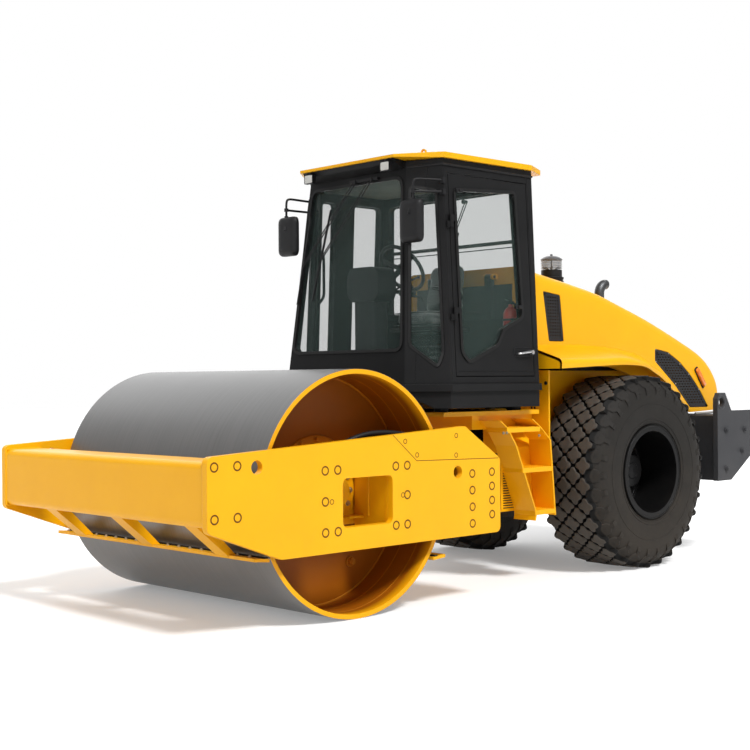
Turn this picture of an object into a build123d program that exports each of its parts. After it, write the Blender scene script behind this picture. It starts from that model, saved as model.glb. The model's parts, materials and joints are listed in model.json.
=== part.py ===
from build123d import *
import math
import os

# A single-drum road roller, in millimetres
# X points forwards, Y to the machine's left and Z up from the ground

# Overall layout
beam_reach = 1196
wheelbase = 3050
rear_overhang = 1704
overall_width = 2310
pivot_ahead = 1550
overall_length = beam_reach + wheelbase + rear_overhang
drum_x = overall_length / 2 - beam_reach
axle_x = drum_x - wheelbase
pivot_x = axle_x + pivot_ahead
rear_x = -overall_length / 2

# Clearances
seat_gap = 0.3
running_gap = 0.05
panel_gap = 6

# Drum
drum_radius = 763
drum_width = 2130
drum_shell = 30
bulkhead_y = 640
bulkhead_thick = 25
journal_radius = 90
journal_reach = 230
journal_flange_radius = 170
journal_flange_depth = 20

# Front frame
plate_thick = 45
plate_rear = 293
plate_window = (-212, 200, -188, 107)
plate_window_corner = 35
lift_hole_radius = 40
front_lift_hole = (849, 205)
rear_lift_hole = (409, 94)
plate_front_low = -141
plate_front_high = 276
plate_top_rear = (339, 390)
plate_tail_high = 167
plate_tail_low = -323
plate_foot = (672, -332)
beam_depth = 250
beam_low = -121
beam_high = 249
beam_corner = 40
beam_set_back = 6
cross_depth = 295
cross_low = -313
cross_high = 157
cross_gap = 27
neck_half = 160
barrel_radius = 130
barrel_low = 500
barrel_high = 880
pin_radius = 60
mount_plate = 25
mount_half_x = 375
mount_half_z = 220
mount_hub_radius = 210
mount_hub_depth = 110
buffer_radius = 55
mount_arm_inset = 10
mount_arm_margin = 20
blade_gap = 15
blade_thick = 20
blade_length = 110
blade_margin = 25
front_blade_angle = 25
rear_blade_angle = 35
front_hang_inset = 60
rear_hang_inset = 70
hanger_share = 0.72
hanger_half = 60
hanger_foot = 60
hanger_back = 40

# Rear wheels
tyre_radius = 740
tyre_width = 587
tyre_outer_y = 1090
rim_radius = 330
rim_flange = 358
rim_thick = 18
rim_inset = 30
rim_disc_y = 720
wheel_hub_radius = 150
spindle_radius = 60
spindle_reach = 140
tyre_shoulder = [(0, 0.70), (22, 0.90), (90, 0.985)]
hub_inner = 110
hub_outer = 150
hub_bevel_y = 30
hub_bevel_radius = 20
cap_depth = 25
cap_bevel = 10

# Rear chassis
chassis_half = 210
chassis_top = 1100
chassis_low = 420
chassis_front = 180
chassis_length = 420
wide_plate = 150
rail_inner = 340
rail_outer = 440
rail_low = 900
rail_high = 1140
ear_thick = 60
ear_gap = 20
ear_radius = 130
axle_radius = 110
diff_radius = 215
diff_rear = -140
diff_front = 170
diff_bevel = 50
axle_pad_half = 110
axle_gap = 10
engine_front = 250
engine_length = 1050
engine_half = 400
engine_height = 660
table_low = 1100
table_high = 1200
table_half = 680
table_front = 50
table_rear = -600
platform_front = 410
platform_half = 750
platform_thick = 32
arch_thick = 15
arch_top = 1520
arch_low = 950
arch_rear = -730
arch_front_gap = 50
bulkhead_half = 800
tank_front = 243
tank_length = 400
tank_inner = 520
tank_low = 500
tank_shoulder = 140
tank_shoulder_in = 130

# Steering cylinders, given at the rest position
cylinder_z = 700
cylinder_rear = (-540, 340)
cylinder_front = (220, 330)
cylinder_radius = 45
rod_radius = 22
barrel_short = 282
bore_root = 60
rod_root = 258
eye_radius = 48
eye_thick = 50
eye_pin = 20
lug_thick = 22
lug_gap = 12
rear_lug_gap = 3
eye_neck_lap = 4

# Cab, with its plan given at the sill and at the top of the walls
cab_base_low = 1260
cab_sill = 1430
cab_top = 2930
cab_wall = 50
cab_mount_places = (330, -430)
cab_mount_y = 650
cab_mount_radius = 52
sill_plan = {"front": 655, "half": 620, "corner": 440, "side": 850, "rear": -485}
top_plan = {"front": 510, "half": 505, "corner": 430, "side": 775, "rear": -502}
right_corner = 250
ledge = 25
ledge_low = 1375
ledge_high = 1425
base_taper = 140
glass_depth = 20
glass_thick = 8
screen_low = 1660
screen_high = 2860
side_window_low = 1600
rear_window_low = 1900
side_window_high = 2840
screen_half_low = 575
screen_half_high = 475
screen_corner = 70
side_window_corner = 40
rear_window_half = 680
rear_window_corner = 50
corner_cut_reach = 80
corner_cut_depth = 270
door_front = 380
door_rear = -430
door_low = 1480
door_high = 2865
hinge_radius = 14
hinge_length = 45
hinge_stand_off = 18
hinge_heights = (1859, 2493)
hinge_leaf_door = -50
hinge_leaf_wall = 40
hinge_leaf_margin = 2
roof_front = 625
roof_low = 2970
roof_band = 38
roof_crown = 22
roof_inset = 120
roof_eye_rise = 20
roof_eye_places = (330, -400)
roof_eye_y = 500
roof_eye_half = 6
roof_eye_bore = 13
roof_eye_radius = 24
roof_front_half = 495
roof_side = 800
roof_left_corner = 430
roof_right_corner = 240
roof_side_rear = -480
roof_rear = -720
roof_rear_half = 680
roof_lip = 20
roof_lip_run = 200
visor_half = 480
visor_gap = 12
visor_foot = 188
visor_top = (12, 16)
visor_low = (40, -15)
lamp_y = 405
lamp_half = 46
lamp_back = 36
lamp_front = 4
lamp_drop = 27

# Mirrors
mirror_ahead = 612
mirror_y = 654
mirror_half_x = 28
mirror_half_y = 100
mirror_z = (2388, 2682)
mirror_corner = 40
mirror_post_shift = 20
mirror_post_z = (2675, 2827)
mirror_post_radius = 11
mirror_arm_heights = (2735, 2815)
mirror_arm_radius = 9
mirror_left_share = 1.0
mirror_right_share = 0.55

# Controls and seat
console_ahead = 395
column_x = (-90, 60)
column_half = 110
column_top = 2020
column_corner = 30
binnacle_x = (-110, 70)
binnacle_half = 165
binnacle_top = 2270
binnacle_corner = 80
post_foot = (-60, 2080)
post_radius = 22
wheel_ahead = 62
wheel_height = 2283
wheel_lean_x = -0.81
wheel_lean_z = 0.59
wheel_ring_radius = 190
wheel_grip_radius = 15
wheel_hub_disc_radius = 40
wheel_hub_depth = 30
wheel_hub_drop = 20
spoke_angles = (90, 210, 330)
spoke_length = 188
spoke_drop = 6
spoke_radius = 9
seat_ahead = -230
seat_foot_half = 190
seat_foot_thick = 40
seat_stem_half = 130
seat_tray_x = (-200, 210)
seat_tray_half = 220
seat_tray_z = (1820, 1850)
cushion_x = (-180, 250)
cushion_half = 240
cushion_top = 1970
cushion_corner = 50
backrest_half = 235
backrest_line = [(-60, 1970), (-115, 2350), (-215, 2350)]

# Hood, with heights given over points along the machine from the rear axle
hood_front = 950
hood_half = 620
hood_wall = 28
hood_round = 90
hood_hinge = (984, 2230)
hinge_bracket_y = 300
hinge_bracket_half = 30
hinge_lug_radius = 22
hinge_lug_thick = 20
hinge_pin_radius = 11
hinge_pin_rest = 4
hinge_bar_z = (-260, -180)
hood_rear_foot = (-1600, 1180)
hood_back = [(-1530, 1572), (-1640, 1442), (-1676, 1300), (-1650, 1180)]
hood_top = [(950, 2298), (616, 2238), (326, 2190), (12, 2130), (-248, 2058),
            (-654, 1937), (-1081, 1787), (-1378, 1670)] + hood_back
arch_line = [(-1206, 1165), (-1150, 1175), (-850, 1290), (-500, 1435), (-290, 1500),
             (-90, 1545), (160, 1558), (500, 1549), (950, 1530)]
flare_wall = 20
flare_sections = [
    # along, outer edge across, top at the hood, top at the outer edge, lip
    (950, 970, 1712, 1597, 1530),
    (500, 970, 1718, 1601, 1549),
    (160, 970, 1716, 1610, 1558),
    (-90, 950, 1700, 1574, 1545),
    (-290, 900, 1675, 1528, 1500),
    (-500, 850, 1632, 1470, 1435),
    (-850, 750, 1460, 1335, 1290),
    (-1150, 650, 1205, 1193, 1175),
]
front_grille = [(738, 2117), (536, 2095), (493, 1740), (672, 1740)]
rear_grille = [(-692, 1700), (-876, 1673), (-1049, 1590), (-1196, 1489), (-1344, 1352),
               (-1470, 1205), (-1191, 1205), (-973, 1397), (-690, 1597)]
grille_thick = 6
grille_depth = 8
flare_overlap = 5
flare_drop = 40

# Air intake and exhaust on the hood
intake_along = 245
intake_y = 300
intake_ring_z = (2150, 2262)
intake_ring_radius = 96
intake_body_top = 2400
intake_body_radius = 84
intake_cap_radius = (86, 42)
intake_cap_rise = 30
intake_knob_radius = 9
intake_knob_top = 2447
exhaust_along = -370
exhaust_y = 300
exhaust_low = 1990
exhaust_knee = 2160
exhaust_bend = [(-24, 2212), (-85, 2235)]
exhaust_radius = 40
exhaust_bore = 35
exhaust_bore_depth = 40
exhaust_bore_margin = 4

# Counterweight
weight_front = -1150
weight_half = 900
weight_side = 45
weight_low = 600
weight_top = 1140
weight_slope = 400
weight_slope_rise = 255
cheek_set_back = 45
cheek_rise = 40
eye_horn = [(-55, 80), (25, 80), (60, 30)]
eye_horn_foot = -150
tow_eye = (-1165, 1250)
tow_eye_radius = 40

# Steps
step_outer = 880
step_sheet = 14
step_front_line = [(-20, 1165), (-94, 1113), (-189, 983), (-401, 495), (-389, 440)]
step_rear_line = [(-365, 1170), (-453, 1110), (-564, 1013), (-584, 794), (-614, 465)]
tread_heights = (1113, 822, 513)
tread_thick = 34
tread_lap = 2

os.makedirs("parts", exist_ok=True)


def block(x, y, z):
    """A box between its low and high limits on each axis."""
    corner = Plane(origin=(x[0], y[0], z[0]))
    return Solid.make_box(x[1] - x[0], y[1] - y[0], z[1] - z[0], corner)


def prism(points, reach):
    """A flat outline of 3-D points, extruded along a vector."""
    return Solid.extrude(Face(Wire.make_polygon(points, close=True)), Vector(*reach))


def side_prism(points, y):
    """An outline of X and Z, extruded across the machine."""
    return prism([(px, y[0], pz) for px, pz in points], (0, y[1] - y[0], 0))


def plan_prism(points, z):
    """An outline of X and Y, extruded upwards."""
    return prism([(px, py, z[0]) for px, py in points], (0, 0, z[1] - z[0]))


def front_prism(points, x):
    """An outline of Y and Z, extruded along the machine."""
    return prism([(x[0], py, pz) for py, pz in points], (x[1] - x[0], 0, 0))


def round_edges(solid, direction, radius):
    """Rounds the straight edges that run along one axis."""
    return solid.fillet(radius, solid.edges().filter_by(direction))


def rod(start, end, radius):
    """A round bar between two points."""
    line = Vector(*end) - Vector(*start)
    return Solid.make_cylinder(radius, line.length, Plane(origin=start, z_dir=line))


def tube(start, end, radius, bore):
    """A round tube between two points."""
    return rod(start, end, radius) - rod(start, end, bore)


def left_and_right(solid):
    """A piece and its mirror image on the other side."""
    return [solid, solid.mirror(Plane.XZ)]


def joined(solids):
    """Several touching pieces as one."""
    result = solids[0]
    for solid in solids[1:]:
        result = result + solid
    return result


def inset(points, distance):
    """Moves each side of a convex outline towards its middle."""
    count = len(points)
    middle = (sum(p[0] for p in points) / count, sum(p[1] for p in points) / count)
    sides = []
    for index in range(count):
        start = points[index]
        end = points[(index + 1) % count]
        length = math.dist(start, end)
        normal = ((start[1] - end[1]) / length, (end[0] - start[0]) / length)
        height = normal[0] * start[0] + normal[1] * start[1]
        if normal[0] * middle[0] + normal[1] * middle[1] < height:
            normal = (-normal[0], -normal[1])
            height = -height
        sides.append((normal, height + distance))
    corners = []
    for index in range(count):
        (a, c), (b, d) = sides[index - 1], sides[index]
        cross = a[0] * b[1] - a[1] * b[0]
        corners.append(((c * b[1] - d * a[1]) / cross, (a[0] * d - b[0] * c) / cross))
    return corners


def save(name, *pieces):
    """Writes the solids of one sub-part to a file."""
    solids = [solid for piece in pieces for solid in piece.solids()]
    export_step(Compound(solids), f"parts/{name}.step")


# Front frame
plate_y = overall_width / 2
plate_inner_y = plate_y - plate_thick


def side_plate():
    """The left side plate, with its window and its two lifting holes."""
    tail_x = pivot_x + plate_rear
    outline = [
        (drum_x + beam_reach, drum_radius + plate_front_low),
        (drum_x + beam_reach, drum_radius + plate_front_high),
        (tail_x + plate_top_rear[0], drum_radius + plate_top_rear[1]),
        (tail_x, drum_radius + plate_tail_high),
        (tail_x, drum_radius + plate_tail_low),
        (drum_x + plate_foot[0], drum_radius + plate_foot[1]),
    ]
    plate = round_edges(side_prism(outline, (plate_inner_y, plate_y)), Axis.Y, beam_corner)
    low_x, high_x, low_z, high_z = plate_window
    window = block((drum_x + low_x, drum_x + high_x), (plate_inner_y - 1, plate_y + 1),
                   (drum_radius + low_z, drum_radius + high_z))
    plate = plate - round_edges(window, Axis.Y, plate_window_corner)
    for start_x, (along, rise) in ((drum_x, front_lift_hole), (tail_x, rear_lift_hole)):
        inner = (start_x + along, plate_inner_y - 1, drum_radius + rise)
        outer = (start_x + along, plate_y + 1, drum_radius + rise)
        plate = plate - rod(inner, outer, lift_hole_radius)
    return plate


def front_beam():
    """The box beam across the front, with rolled edges."""
    front = drum_x + beam_reach - beam_set_back
    beam = block((front - beam_depth, front), (-plate_inner_y, plate_inner_y),
                 (drum_radius + beam_low, drum_radius + beam_high))
    rolled = [edge for edge in beam.edges().filter_by(Axis.Y) if edge.center().X > front - 1]
    return beam.fillet(beam_corner, rolled)


cross_x = (pivot_x + plate_rear + cross_gap, pivot_x + plate_rear + cross_gap + cross_depth)


def rear_beam():
    """The cross beam behind the drum, with its neck and pivot barrel."""
    beam = block(cross_x, (-plate_inner_y, plate_inner_y),
                 (drum_radius + cross_low, drum_radius + cross_high))
    neck = block((pivot_x, cross_x[0]), (-neck_half, neck_half),
                 (barrel_low + ear_gap, barrel_high - ear_gap))
    barrel = rod((pivot_x, 0, barrel_low), (pivot_x, 0, barrel_high), barrel_radius)
    neck = neck - rod((pivot_x, 0, barrel_low), (pivot_x, 0, barrel_high), barrel_radius - 1)
    hitch = joined([beam, neck, barrel])
    bore = pin_radius + running_gap
    hitch = hitch - rod((pivot_x, 0, barrel_low - 1), (pivot_x, 0, barrel_high + 1), bore)
    eye_x = pivot_x + cylinder_front[0]
    half = eye_thick / 2 + lug_gap
    for side in (1, -1):
        for up in (1, -1):
            low = cylinder_z + up * half
            plate_z = tuple(sorted((low, low + up * lug_thick)))
            lug = block((eye_x, cross_x[0]), (side * cylinder_front[1] - eye_radius,
                        side * cylinder_front[1] + eye_radius), plate_z)
            tip = rod((eye_x, side * cylinder_front[1], plate_z[0]),
                      (eye_x, side * cylinder_front[1], plate_z[1]), eye_radius)
            hitch = joined([hitch, lug, tip])
    return hitch


def drum_mount():
    """The carrier on the left plate that holds the drum's bearing."""
    outer_y = plate_inner_y
    inner_y = plate_inner_y - mount_plate
    plate = block((drum_x - mount_half_x, drum_x + mount_half_x), (inner_y, outer_y),
                  (drum_radius - mount_half_z, drum_radius + mount_half_z))
    low_x, high_x, low_z, high_z = plate_window
    window = block((drum_x + low_x, drum_x + high_x), (inner_y - 1, outer_y + 1),
                   (drum_radius + low_z, drum_radius + high_z))
    plate = plate - window
    hub_y = bulkhead_y + bulkhead_thick + blade_margin
    hub = rod((drum_x, hub_y, drum_radius), (drum_x, hub_y + mount_hub_depth, drum_radius),
              mount_hub_radius)
    legs = []
    for side_x in (-1, 1):
        for side_z in (-1, 1):
            x = drum_x + side_x * (mount_half_x + high_x) / 2
            z = drum_radius + side_z * (mount_half_z - buffer_radius)
            legs.append(rod((x, hub_y + mount_hub_depth / 2, z), (x, inner_y, z), buffer_radius))
    arm_half = mount_half_x - mount_arm_inset
    arm = block((drum_x - arm_half, drum_x + arm_half),
                (hub_y + mount_arm_margin, hub_y + mount_hub_depth - mount_arm_margin),
                (drum_radius - mount_half_z, drum_radius + mount_half_z))
    mount = joined([plate, hub, arm] + legs)
    bore = journal_radius + running_gap
    return mount - rod((drum_x, hub_y - 1, drum_radius),
                       (drum_x, hub_y + mount_hub_depth + 1, drum_radius), bore)


def scraper(ahead, angle, hang_x, hang_z):
    """A blade along the drum with its bar and three hangers."""
    tip_radius = drum_radius + blade_gap
    tip = (drum_x + ahead * tip_radius * math.cos(angle), drum_radius - tip_radius * math.sin(angle))
    outer = (tip[0] + ahead * blade_length, tip[1] + blade_thick / 2)
    half = plate_inner_y - blade_margin
    bar = side_prism([tip, (tip[0], tip[1] - blade_thick), (outer[0], outer[1] - blade_thick),
                      outer], (-half, half))
    hangers = []
    for y in (-half * hanger_share, 0, half * hanger_share):
        foot = (outer[0] - ahead * hanger_foot, outer[1] - blade_thick / 2)
        hanger = [foot, (outer[0], outer[1] - blade_thick / 2),
                  (hang_x + ahead * hanger_foot, hang_z), (hang_x - ahead * hanger_back, hang_z)]
        hangers.append(side_prism(hanger, (y - hanger_half, y + hanger_half)))
    return joined([bar] + hangers)


# Drum
def drum():
    """The smooth shell with its two recessed bulkheads."""
    half = drum_width / 2
    shell = tube((drum_x, -half, drum_radius), (drum_x, half, drum_radius),
                 drum_radius, drum_radius - drum_shell)
    discs = []
    for side in (-1, 1):
        start = (drum_x, side * bulkhead_y, drum_radius)
        end = (drum_x, side * (bulkhead_y + bulkhead_thick), drum_radius)
        discs.append(rod(start, end, drum_radius - drum_shell + 1))
    return joined([shell] + discs)


def drum_journal():
    """The left journal that turns in the mount's bearing."""
    root_y = bulkhead_y + bulkhead_thick
    flange = rod((drum_x, root_y, drum_radius), (drum_x, root_y + journal_flange_depth, drum_radius),
                 journal_flange_radius)
    shaft = rod((drum_x, root_y, drum_radius), (drum_x, root_y + journal_reach, drum_radius),
                journal_radius)
    return flange + shaft


# Rear wheels
def revolve_ring(points):
    """Turns an outline of Y and radius round the rear axle."""
    outline = Face(Wire.make_polygon([(axle_x, y, tyre_radius + r) for y, r in points], close=True))
    axis = Axis((axle_x, 0, tyre_radius), (0, 1, 0))
    return Solid.revolve(outline, 360, axis)


tyre_inner_y = tyre_outer_y - tyre_width


def tyre():
    """The left tyre, as its outer shape over the rim."""
    bead = rim_radius + seat_gap
    lip = rim_flange + seat_gap
    inner = rim_inset + seat_gap
    rising = [(y, share * tyre_radius) for y, share in tyre_shoulder]
    falling = [(tyre_width - y, r) for y, r in reversed(rising)]
    profile = [(inner, bead), (inner, lip)] + rising + [(tyre_width / 2, tyre_radius)] + falling
    profile += [(tyre_width - inner, lip), (tyre_width - inner, bead)]
    return revolve_ring([(tyre_inner_y + y, r) for y, r in profile])


def rim():
    """The left rim, with its flanges, disc and hub."""
    low_y = tyre_inner_y + rim_inset
    high_y = tyre_outer_y - rim_inset
    barrel = revolve_ring([(low_y, rim_radius - rim_thick), (high_y, rim_radius - rim_thick),
                           (high_y, rim_radius), (low_y, rim_radius)])
    flanges = []
    for y in (low_y - rim_thick, high_y):
        flanges.append(revolve_ring([(y, rim_radius - rim_thick), (y + rim_thick, rim_radius - rim_thick),
                                     (y + rim_thick, rim_flange), (y, rim_flange)]))
    bore = spindle_radius + running_gap
    disc = revolve_ring([(rim_disc_y, bore), (rim_disc_y + rim_thick, bore),
                         (rim_disc_y + rim_thick, rim_radius - rim_thick + 1),
                         (rim_disc_y, rim_radius - rim_thick + 1)])
    hub_face = rim_disc_y + hub_outer
    face_radius = wheel_hub_radius - hub_bevel_radius
    hub = revolve_ring([(rim_disc_y - hub_inner, bore), (hub_face, bore), (hub_face, face_radius),
                        (hub_face - hub_bevel_y, wheel_hub_radius),
                        (rim_disc_y - hub_inner, wheel_hub_radius)])
    cap = revolve_ring([(hub_face, 0), (hub_face + cap_depth, 0),
                        (hub_face + cap_depth - cap_bevel, face_radius - cap_bevel),
                        (hub_face, face_radius)])
    return joined([barrel, disc, hub, cap] + flanges)


def rear_axle():
    """The axle housing with its differential, pads and spindles."""
    hub_root = rim_disc_y - hub_inner - axle_gap
    housing = rod((axle_x, -hub_root, tyre_radius), (axle_x, hub_root, tyre_radius), axle_radius)
    diff = rod((axle_x + diff_rear, 0, tyre_radius), (axle_x + diff_front, 0, tyre_radius), diff_radius)
    diff = diff.chamfer(diff_bevel, None, diff.edges().filter_by(GeomType.CIRCLE))
    pieces = [housing, diff]
    for side in (-1, 1):
        spindle_end = side * (rim_disc_y + spindle_reach)
        pieces.append(rod((axle_x, side * hub_root, tyre_radius),
                          (axle_x, spindle_end, tyre_radius), spindle_radius))
        pad_y = sorted((side * rail_inner, side * rail_outer))
        pieces.append(block((axle_x - axle_pad_half, axle_x + axle_pad_half), pad_y,
                            (tyre_radius, rail_low)))
    return joined(pieces)


# Rear chassis
chassis_x = (pivot_x - chassis_front - chassis_length, pivot_x - chassis_front)


def chassis():
    """The centre box behind the pivot, with its wide rear plate and cylinder lugs."""
    centre = block(chassis_x, (-chassis_half, chassis_half), (chassis_low, chassis_top))
    wide = block((chassis_x[0] - wide_plate, chassis_x[0]), (-rail_outer, rail_outer),
                 (chassis_low, rail_high))
    eye_x = pivot_x + cylinder_rear[0]
    half = eye_thick / 2 + rear_lug_gap
    pieces = [centre, wide]
    for side in (-1, 1):
        y = side * cylinder_rear[1]
        for up in (-1, 1):
            low = cylinder_z + up * half
            plate_z = tuple(sorted((low, low + up * lug_thick)))
            pieces.append(block((chassis_x[0], eye_x), (y - eye_radius, y + eye_radius), plate_z))
            pieces.append(rod((eye_x, y, plate_z[0]), (eye_x, y, plate_z[1]), eye_radius))
        pin_half = half + lug_thick / 2
        pieces.append(rod((eye_x, y, cylinder_z - pin_half), (eye_x, y, cylinder_z + pin_half), eye_pin))
    return joined(pieces)


def rear_hitch():
    """The two ears and the pin that carry the front frame."""
    pieces = []
    for low in (barrel_low - ear_gap - ear_thick, barrel_high + ear_gap):
        ear_z = (low, low + ear_thick)
        arm = block((chassis_x[1], pivot_x), (-ear_radius, ear_radius), ear_z)
        pieces.append(arm)
        pieces.append(rod((pivot_x, 0, ear_z[0]), (pivot_x, 0, ear_z[1]), ear_radius))
    pin_low = barrel_low - ear_gap - ear_thick
    pin_high = barrel_high + ear_gap + ear_thick
    pieces.append(rod((pivot_x, 0, pin_low), (pivot_x, 0, pin_high), pin_radius))
    return joined(pieces)


def rail():
    """The left long rail."""
    rail_x = (axle_x + weight_front, chassis_x[0] - wide_plate)
    return block(rail_x, (rail_inner, rail_outer), (rail_low, rail_high))


def engine():
    """A plain block the size of the engine, between its mounts."""
    front = axle_x + engine_front
    return block((front - engine_length, front), (-engine_half, engine_half),
                 (rail_high, rail_high + engine_height))


def arch_panel():
    """The left inner wheel arch, with its bulkhead in front of the tyre."""
    front = chassis_x[0] - arch_front_gap
    inner = block((axle_x + arch_rear, front), (rail_outer, rail_outer + arch_thick), (arch_low, arch_top))
    face = block((front - arch_thick, front), (rail_outer, bulkhead_half), (arch_low, arch_top))
    return inner + face


def side_tank():
    """The left tank with its sloping shoulder."""
    high = table_low
    outline = [(tank_inner, tank_low), (table_half, tank_low), (table_half, high - tank_shoulder),
               (table_half - tank_shoulder_in, high), (tank_inner, high)]
    front = pivot_x - tank_front
    return front_prism(outline, (front - tank_length, front))


def cab_platform():
    """The table on the chassis and the plate that the cab stands on."""
    table = block((pivot_x + table_rear, pivot_x + table_front), (-table_half, table_half),
                  (table_low, table_high))
    plate = block((pivot_x + table_rear, pivot_x + platform_front), (-platform_half, platform_half),
                  (table_high, table_high + platform_thick))
    return table + plate


def cab_mounts():
    """Four rubber blocks between the platform and the cab."""
    low = table_high + platform_thick
    blocks = []
    for along in cab_mount_places:
        for y in (-cab_mount_y, cab_mount_y):
            x = pivot_x + along
            blocks.append(rod((x, y, low), (x, y, cab_base_low), cab_mount_radius))
    return blocks


def counterweight():
    """The heavy block across the back, with its side plates and tie-down eyes."""
    front = axle_x + weight_front
    slope_x = rear_x + weight_slope
    body = side_prism([(front, weight_low), (slope_x, weight_low),
                       (rear_x, weight_low + weight_slope_rise), (rear_x, weight_top),
                       (front, weight_top)], (-weight_half, weight_half))
    top = weight_top + cheek_rise
    eye_x = axle_x + tow_eye[0]
    cheek_front = front + cheek_set_back
    horn = [(eye_x + along, tow_eye[1] + rise) for along, rise in eye_horn]
    cheek_outline = [(cheek_front, weight_low), (slope_x, weight_low),
                     (rear_x, weight_low + weight_slope_rise), (rear_x, top),
                     (eye_x + eye_horn_foot, top)] + horn + [(cheek_front, top)]
    pieces = [body]
    for side in (-1, 1):
        y = tuple(sorted((side * weight_half, side * (weight_half + weight_side))))
        cheek = side_prism(cheek_outline, y)
        hole = rod((eye_x, y[0] - 1, tow_eye[1]), (eye_x, y[1] + 1, tow_eye[1]), tow_eye_radius)
        pieces.append(cheek - hole)
    return joined(pieces)


def step_strip(line):
    """One bent side sheet of the steps."""
    front = [(pivot_x + x, z) for x, z in line]
    back = [(x - step_sheet, z) for x, z in reversed(front)]
    return side_prism(front + back, (table_half, step_outer))


def line_x(line, height):
    """Where a side sheet of the steps stands at one height."""
    for (x0, z0), (x1, z1) in zip(line, line[1:]):
        if z1 <= height <= z0:
            return x0 + (x1 - x0) * (height - z0) / (z1 - z0)
    return line[-1][0]


def steps():
    """Two bent side sheets with three treads between them."""
    pieces = [step_strip(step_front_line), step_strip(step_rear_line)]
    for height in tread_heights:
        front = pivot_x + line_x(step_front_line, height) - tread_lap
        rear = pivot_x + line_x(step_rear_line, height) - step_sheet / 2
        pieces.append(block((rear, front), (table_half, step_outer), (height - tread_thick, height)))
    return joined(pieces)


# Steering cylinders
rear_eye = Vector(pivot_x + cylinder_rear[0], cylinder_rear[1], cylinder_z)
front_eye = Vector(pivot_x + cylinder_front[0], cylinder_front[1], cylinder_z)
cylinder_line = (front_eye - rear_eye).normalized()
cylinder_span = (front_eye - rear_eye).length


def eye_ring(centre, bore):
    """The ring at one end of a cylinder."""
    low = (centre.X, centre.Y, cylinder_z - eye_thick / 2)
    high = (centre.X, centre.Y, cylinder_z + eye_thick / 2)
    return tube(low, high, eye_radius, bore)


def cylinder_barrel():
    """The left cylinder's barrel with its rear eye."""
    neck = rear_eye + cylinder_line * (eye_radius - eye_neck_lap)
    start = rear_eye + cylinder_line * (eye_radius + eye_neck_lap)
    end = rear_eye + cylinder_line * (cylinder_span - barrel_short)
    bore_start = rear_eye + cylinder_line * bore_root
    body = rod(tuple(start), tuple(end), cylinder_radius) + rod(tuple(neck), tuple(start), rod_radius)
    body = body - rod(tuple(bore_start), tuple(end + cylinder_line), rod_radius + running_gap)
    return body + eye_ring(rear_eye, eye_pin + running_gap)


def cylinder_rod():
    """The left cylinder's rod with its front eye."""
    start = rear_eye + cylinder_line * rod_root
    end = front_eye - cylinder_line * (eye_radius - eye_neck_lap)
    return rod(tuple(start), tuple(end), rod_radius) + eye_ring(front_eye, eye_pin)


# Cab
def cab_plan(height):
    """The cab's plan outline at one height."""
    share = (height - cab_sill) / (cab_top - cab_sill)
    size = {key: sill_plan[key] + share * (top_plan[key] - sill_plan[key]) for key in sill_plan}
    front = pivot_x + size["front"]
    rear = pivot_x + size["rear"]
    return [(front, size["half"]), (pivot_x + size["corner"], size["side"]), (rear, size["side"]),
            (rear, -size["side"]), (pivot_x + right_corner, -size["side"]), (front, -size["half"])]


def cab_loft(distance):
    """The space inside the cab's outer faces, moved inwards."""
    wires = []
    for height in (cab_sill, cab_top):
        points = inset(cab_plan(height), distance)
        wires.append(Wire.make_polygon([(x, y, height) for x, y in points], close=True))
    return Solid.make_loft(wires, ruled=True)


def front_face_x(height):
    """Where the cab's front face stands at one height."""
    return cab_plan(height)[0][0]


def side_face_y(height):
    """How far out the cab's side face stands at one height."""
    return cab_plan(height)[1][1]


far = 2000
cab_skin = cab_loft(0) - cab_loft(cab_wall)
pane_skin = cab_loft(glass_depth) - cab_loft(glass_depth + glass_thick)
front_zone = side_prism([(front_face_x(cab_sill) - cab_wall, cab_sill),
                         (front_face_x(cab_sill) + far, cab_sill),
                         (front_face_x(cab_top) + far, cab_top),
                         (front_face_x(cab_top) - cab_wall, cab_top)], (-far, far))
rear_zone = side_prism([(pivot_x + sill_plan["rear"] + cab_wall, cab_sill),
                        (pivot_x + sill_plan["rear"] - far, cab_sill),
                        (pivot_x + top_plan["rear"] - far, cab_top),
                        (pivot_x + top_plan["rear"] + cab_wall, cab_top)], (-far, far))
left_zone = block((-far * 2, far * 2), (0, far), (cab_sill, cab_top))
right_zone = block((-far * 2, far * 2), (-far, 0), (cab_sill, cab_top))


def screen_cut(gap):
    """The windscreen's opening, or its pane when a gap is given."""
    outline = [(-screen_half_low + gap, screen_low + gap), (screen_half_low - gap, screen_low + gap),
               (screen_half_high - gap, screen_high - gap), (-screen_half_high + gap, screen_high - gap)]
    cut = front_prism(outline, (pivot_x + top_plan["corner"], pivot_x + sill_plan["front"] + 100))
    return round_edges(cut, Axis.X, screen_corner)


def corner_point(side, share, height):
    """A point on a corner panel, by its share from the front to the side."""
    plan = cab_plan(height)
    front, back = (plan[0], plan[1]) if side > 0 else (plan[5], plan[4])
    return Vector(*front, height) * (1 - share) + Vector(*back, height) * share


quarter_outline = [(0.12, 2785), (0.80, 2750), (0.86, 1640), (0.74, 1545), (0.12, 1690)]


def quarter_cut(side, gap):
    """The opening in a corner panel, or its pane when a gap is given."""
    start = corner_point(side, 0, cab_sill)
    along = (corner_point(side, 1, cab_sill) - start).normalized()
    outwards = Vector(-side * along.Y, side * along.X, 0) * -1
    flat = []
    for share, height in quarter_outline:
        flat.append(((corner_point(side, share, height) - start).dot(along), height))
    outside = start + outwards * corner_cut_reach
    points = []
    for distance, height in inset(flat, gap):
        point = outside + along * distance
        points.append((point.X, point.Y, height))
    return prism(points, tuple(outwards * -corner_cut_depth))


door_window = [(324, 2755), (-300, 2790), (-328, 1899), (-118, 1809), (-47, 1696),
               (250, 1576), (316, 1643)]


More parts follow.
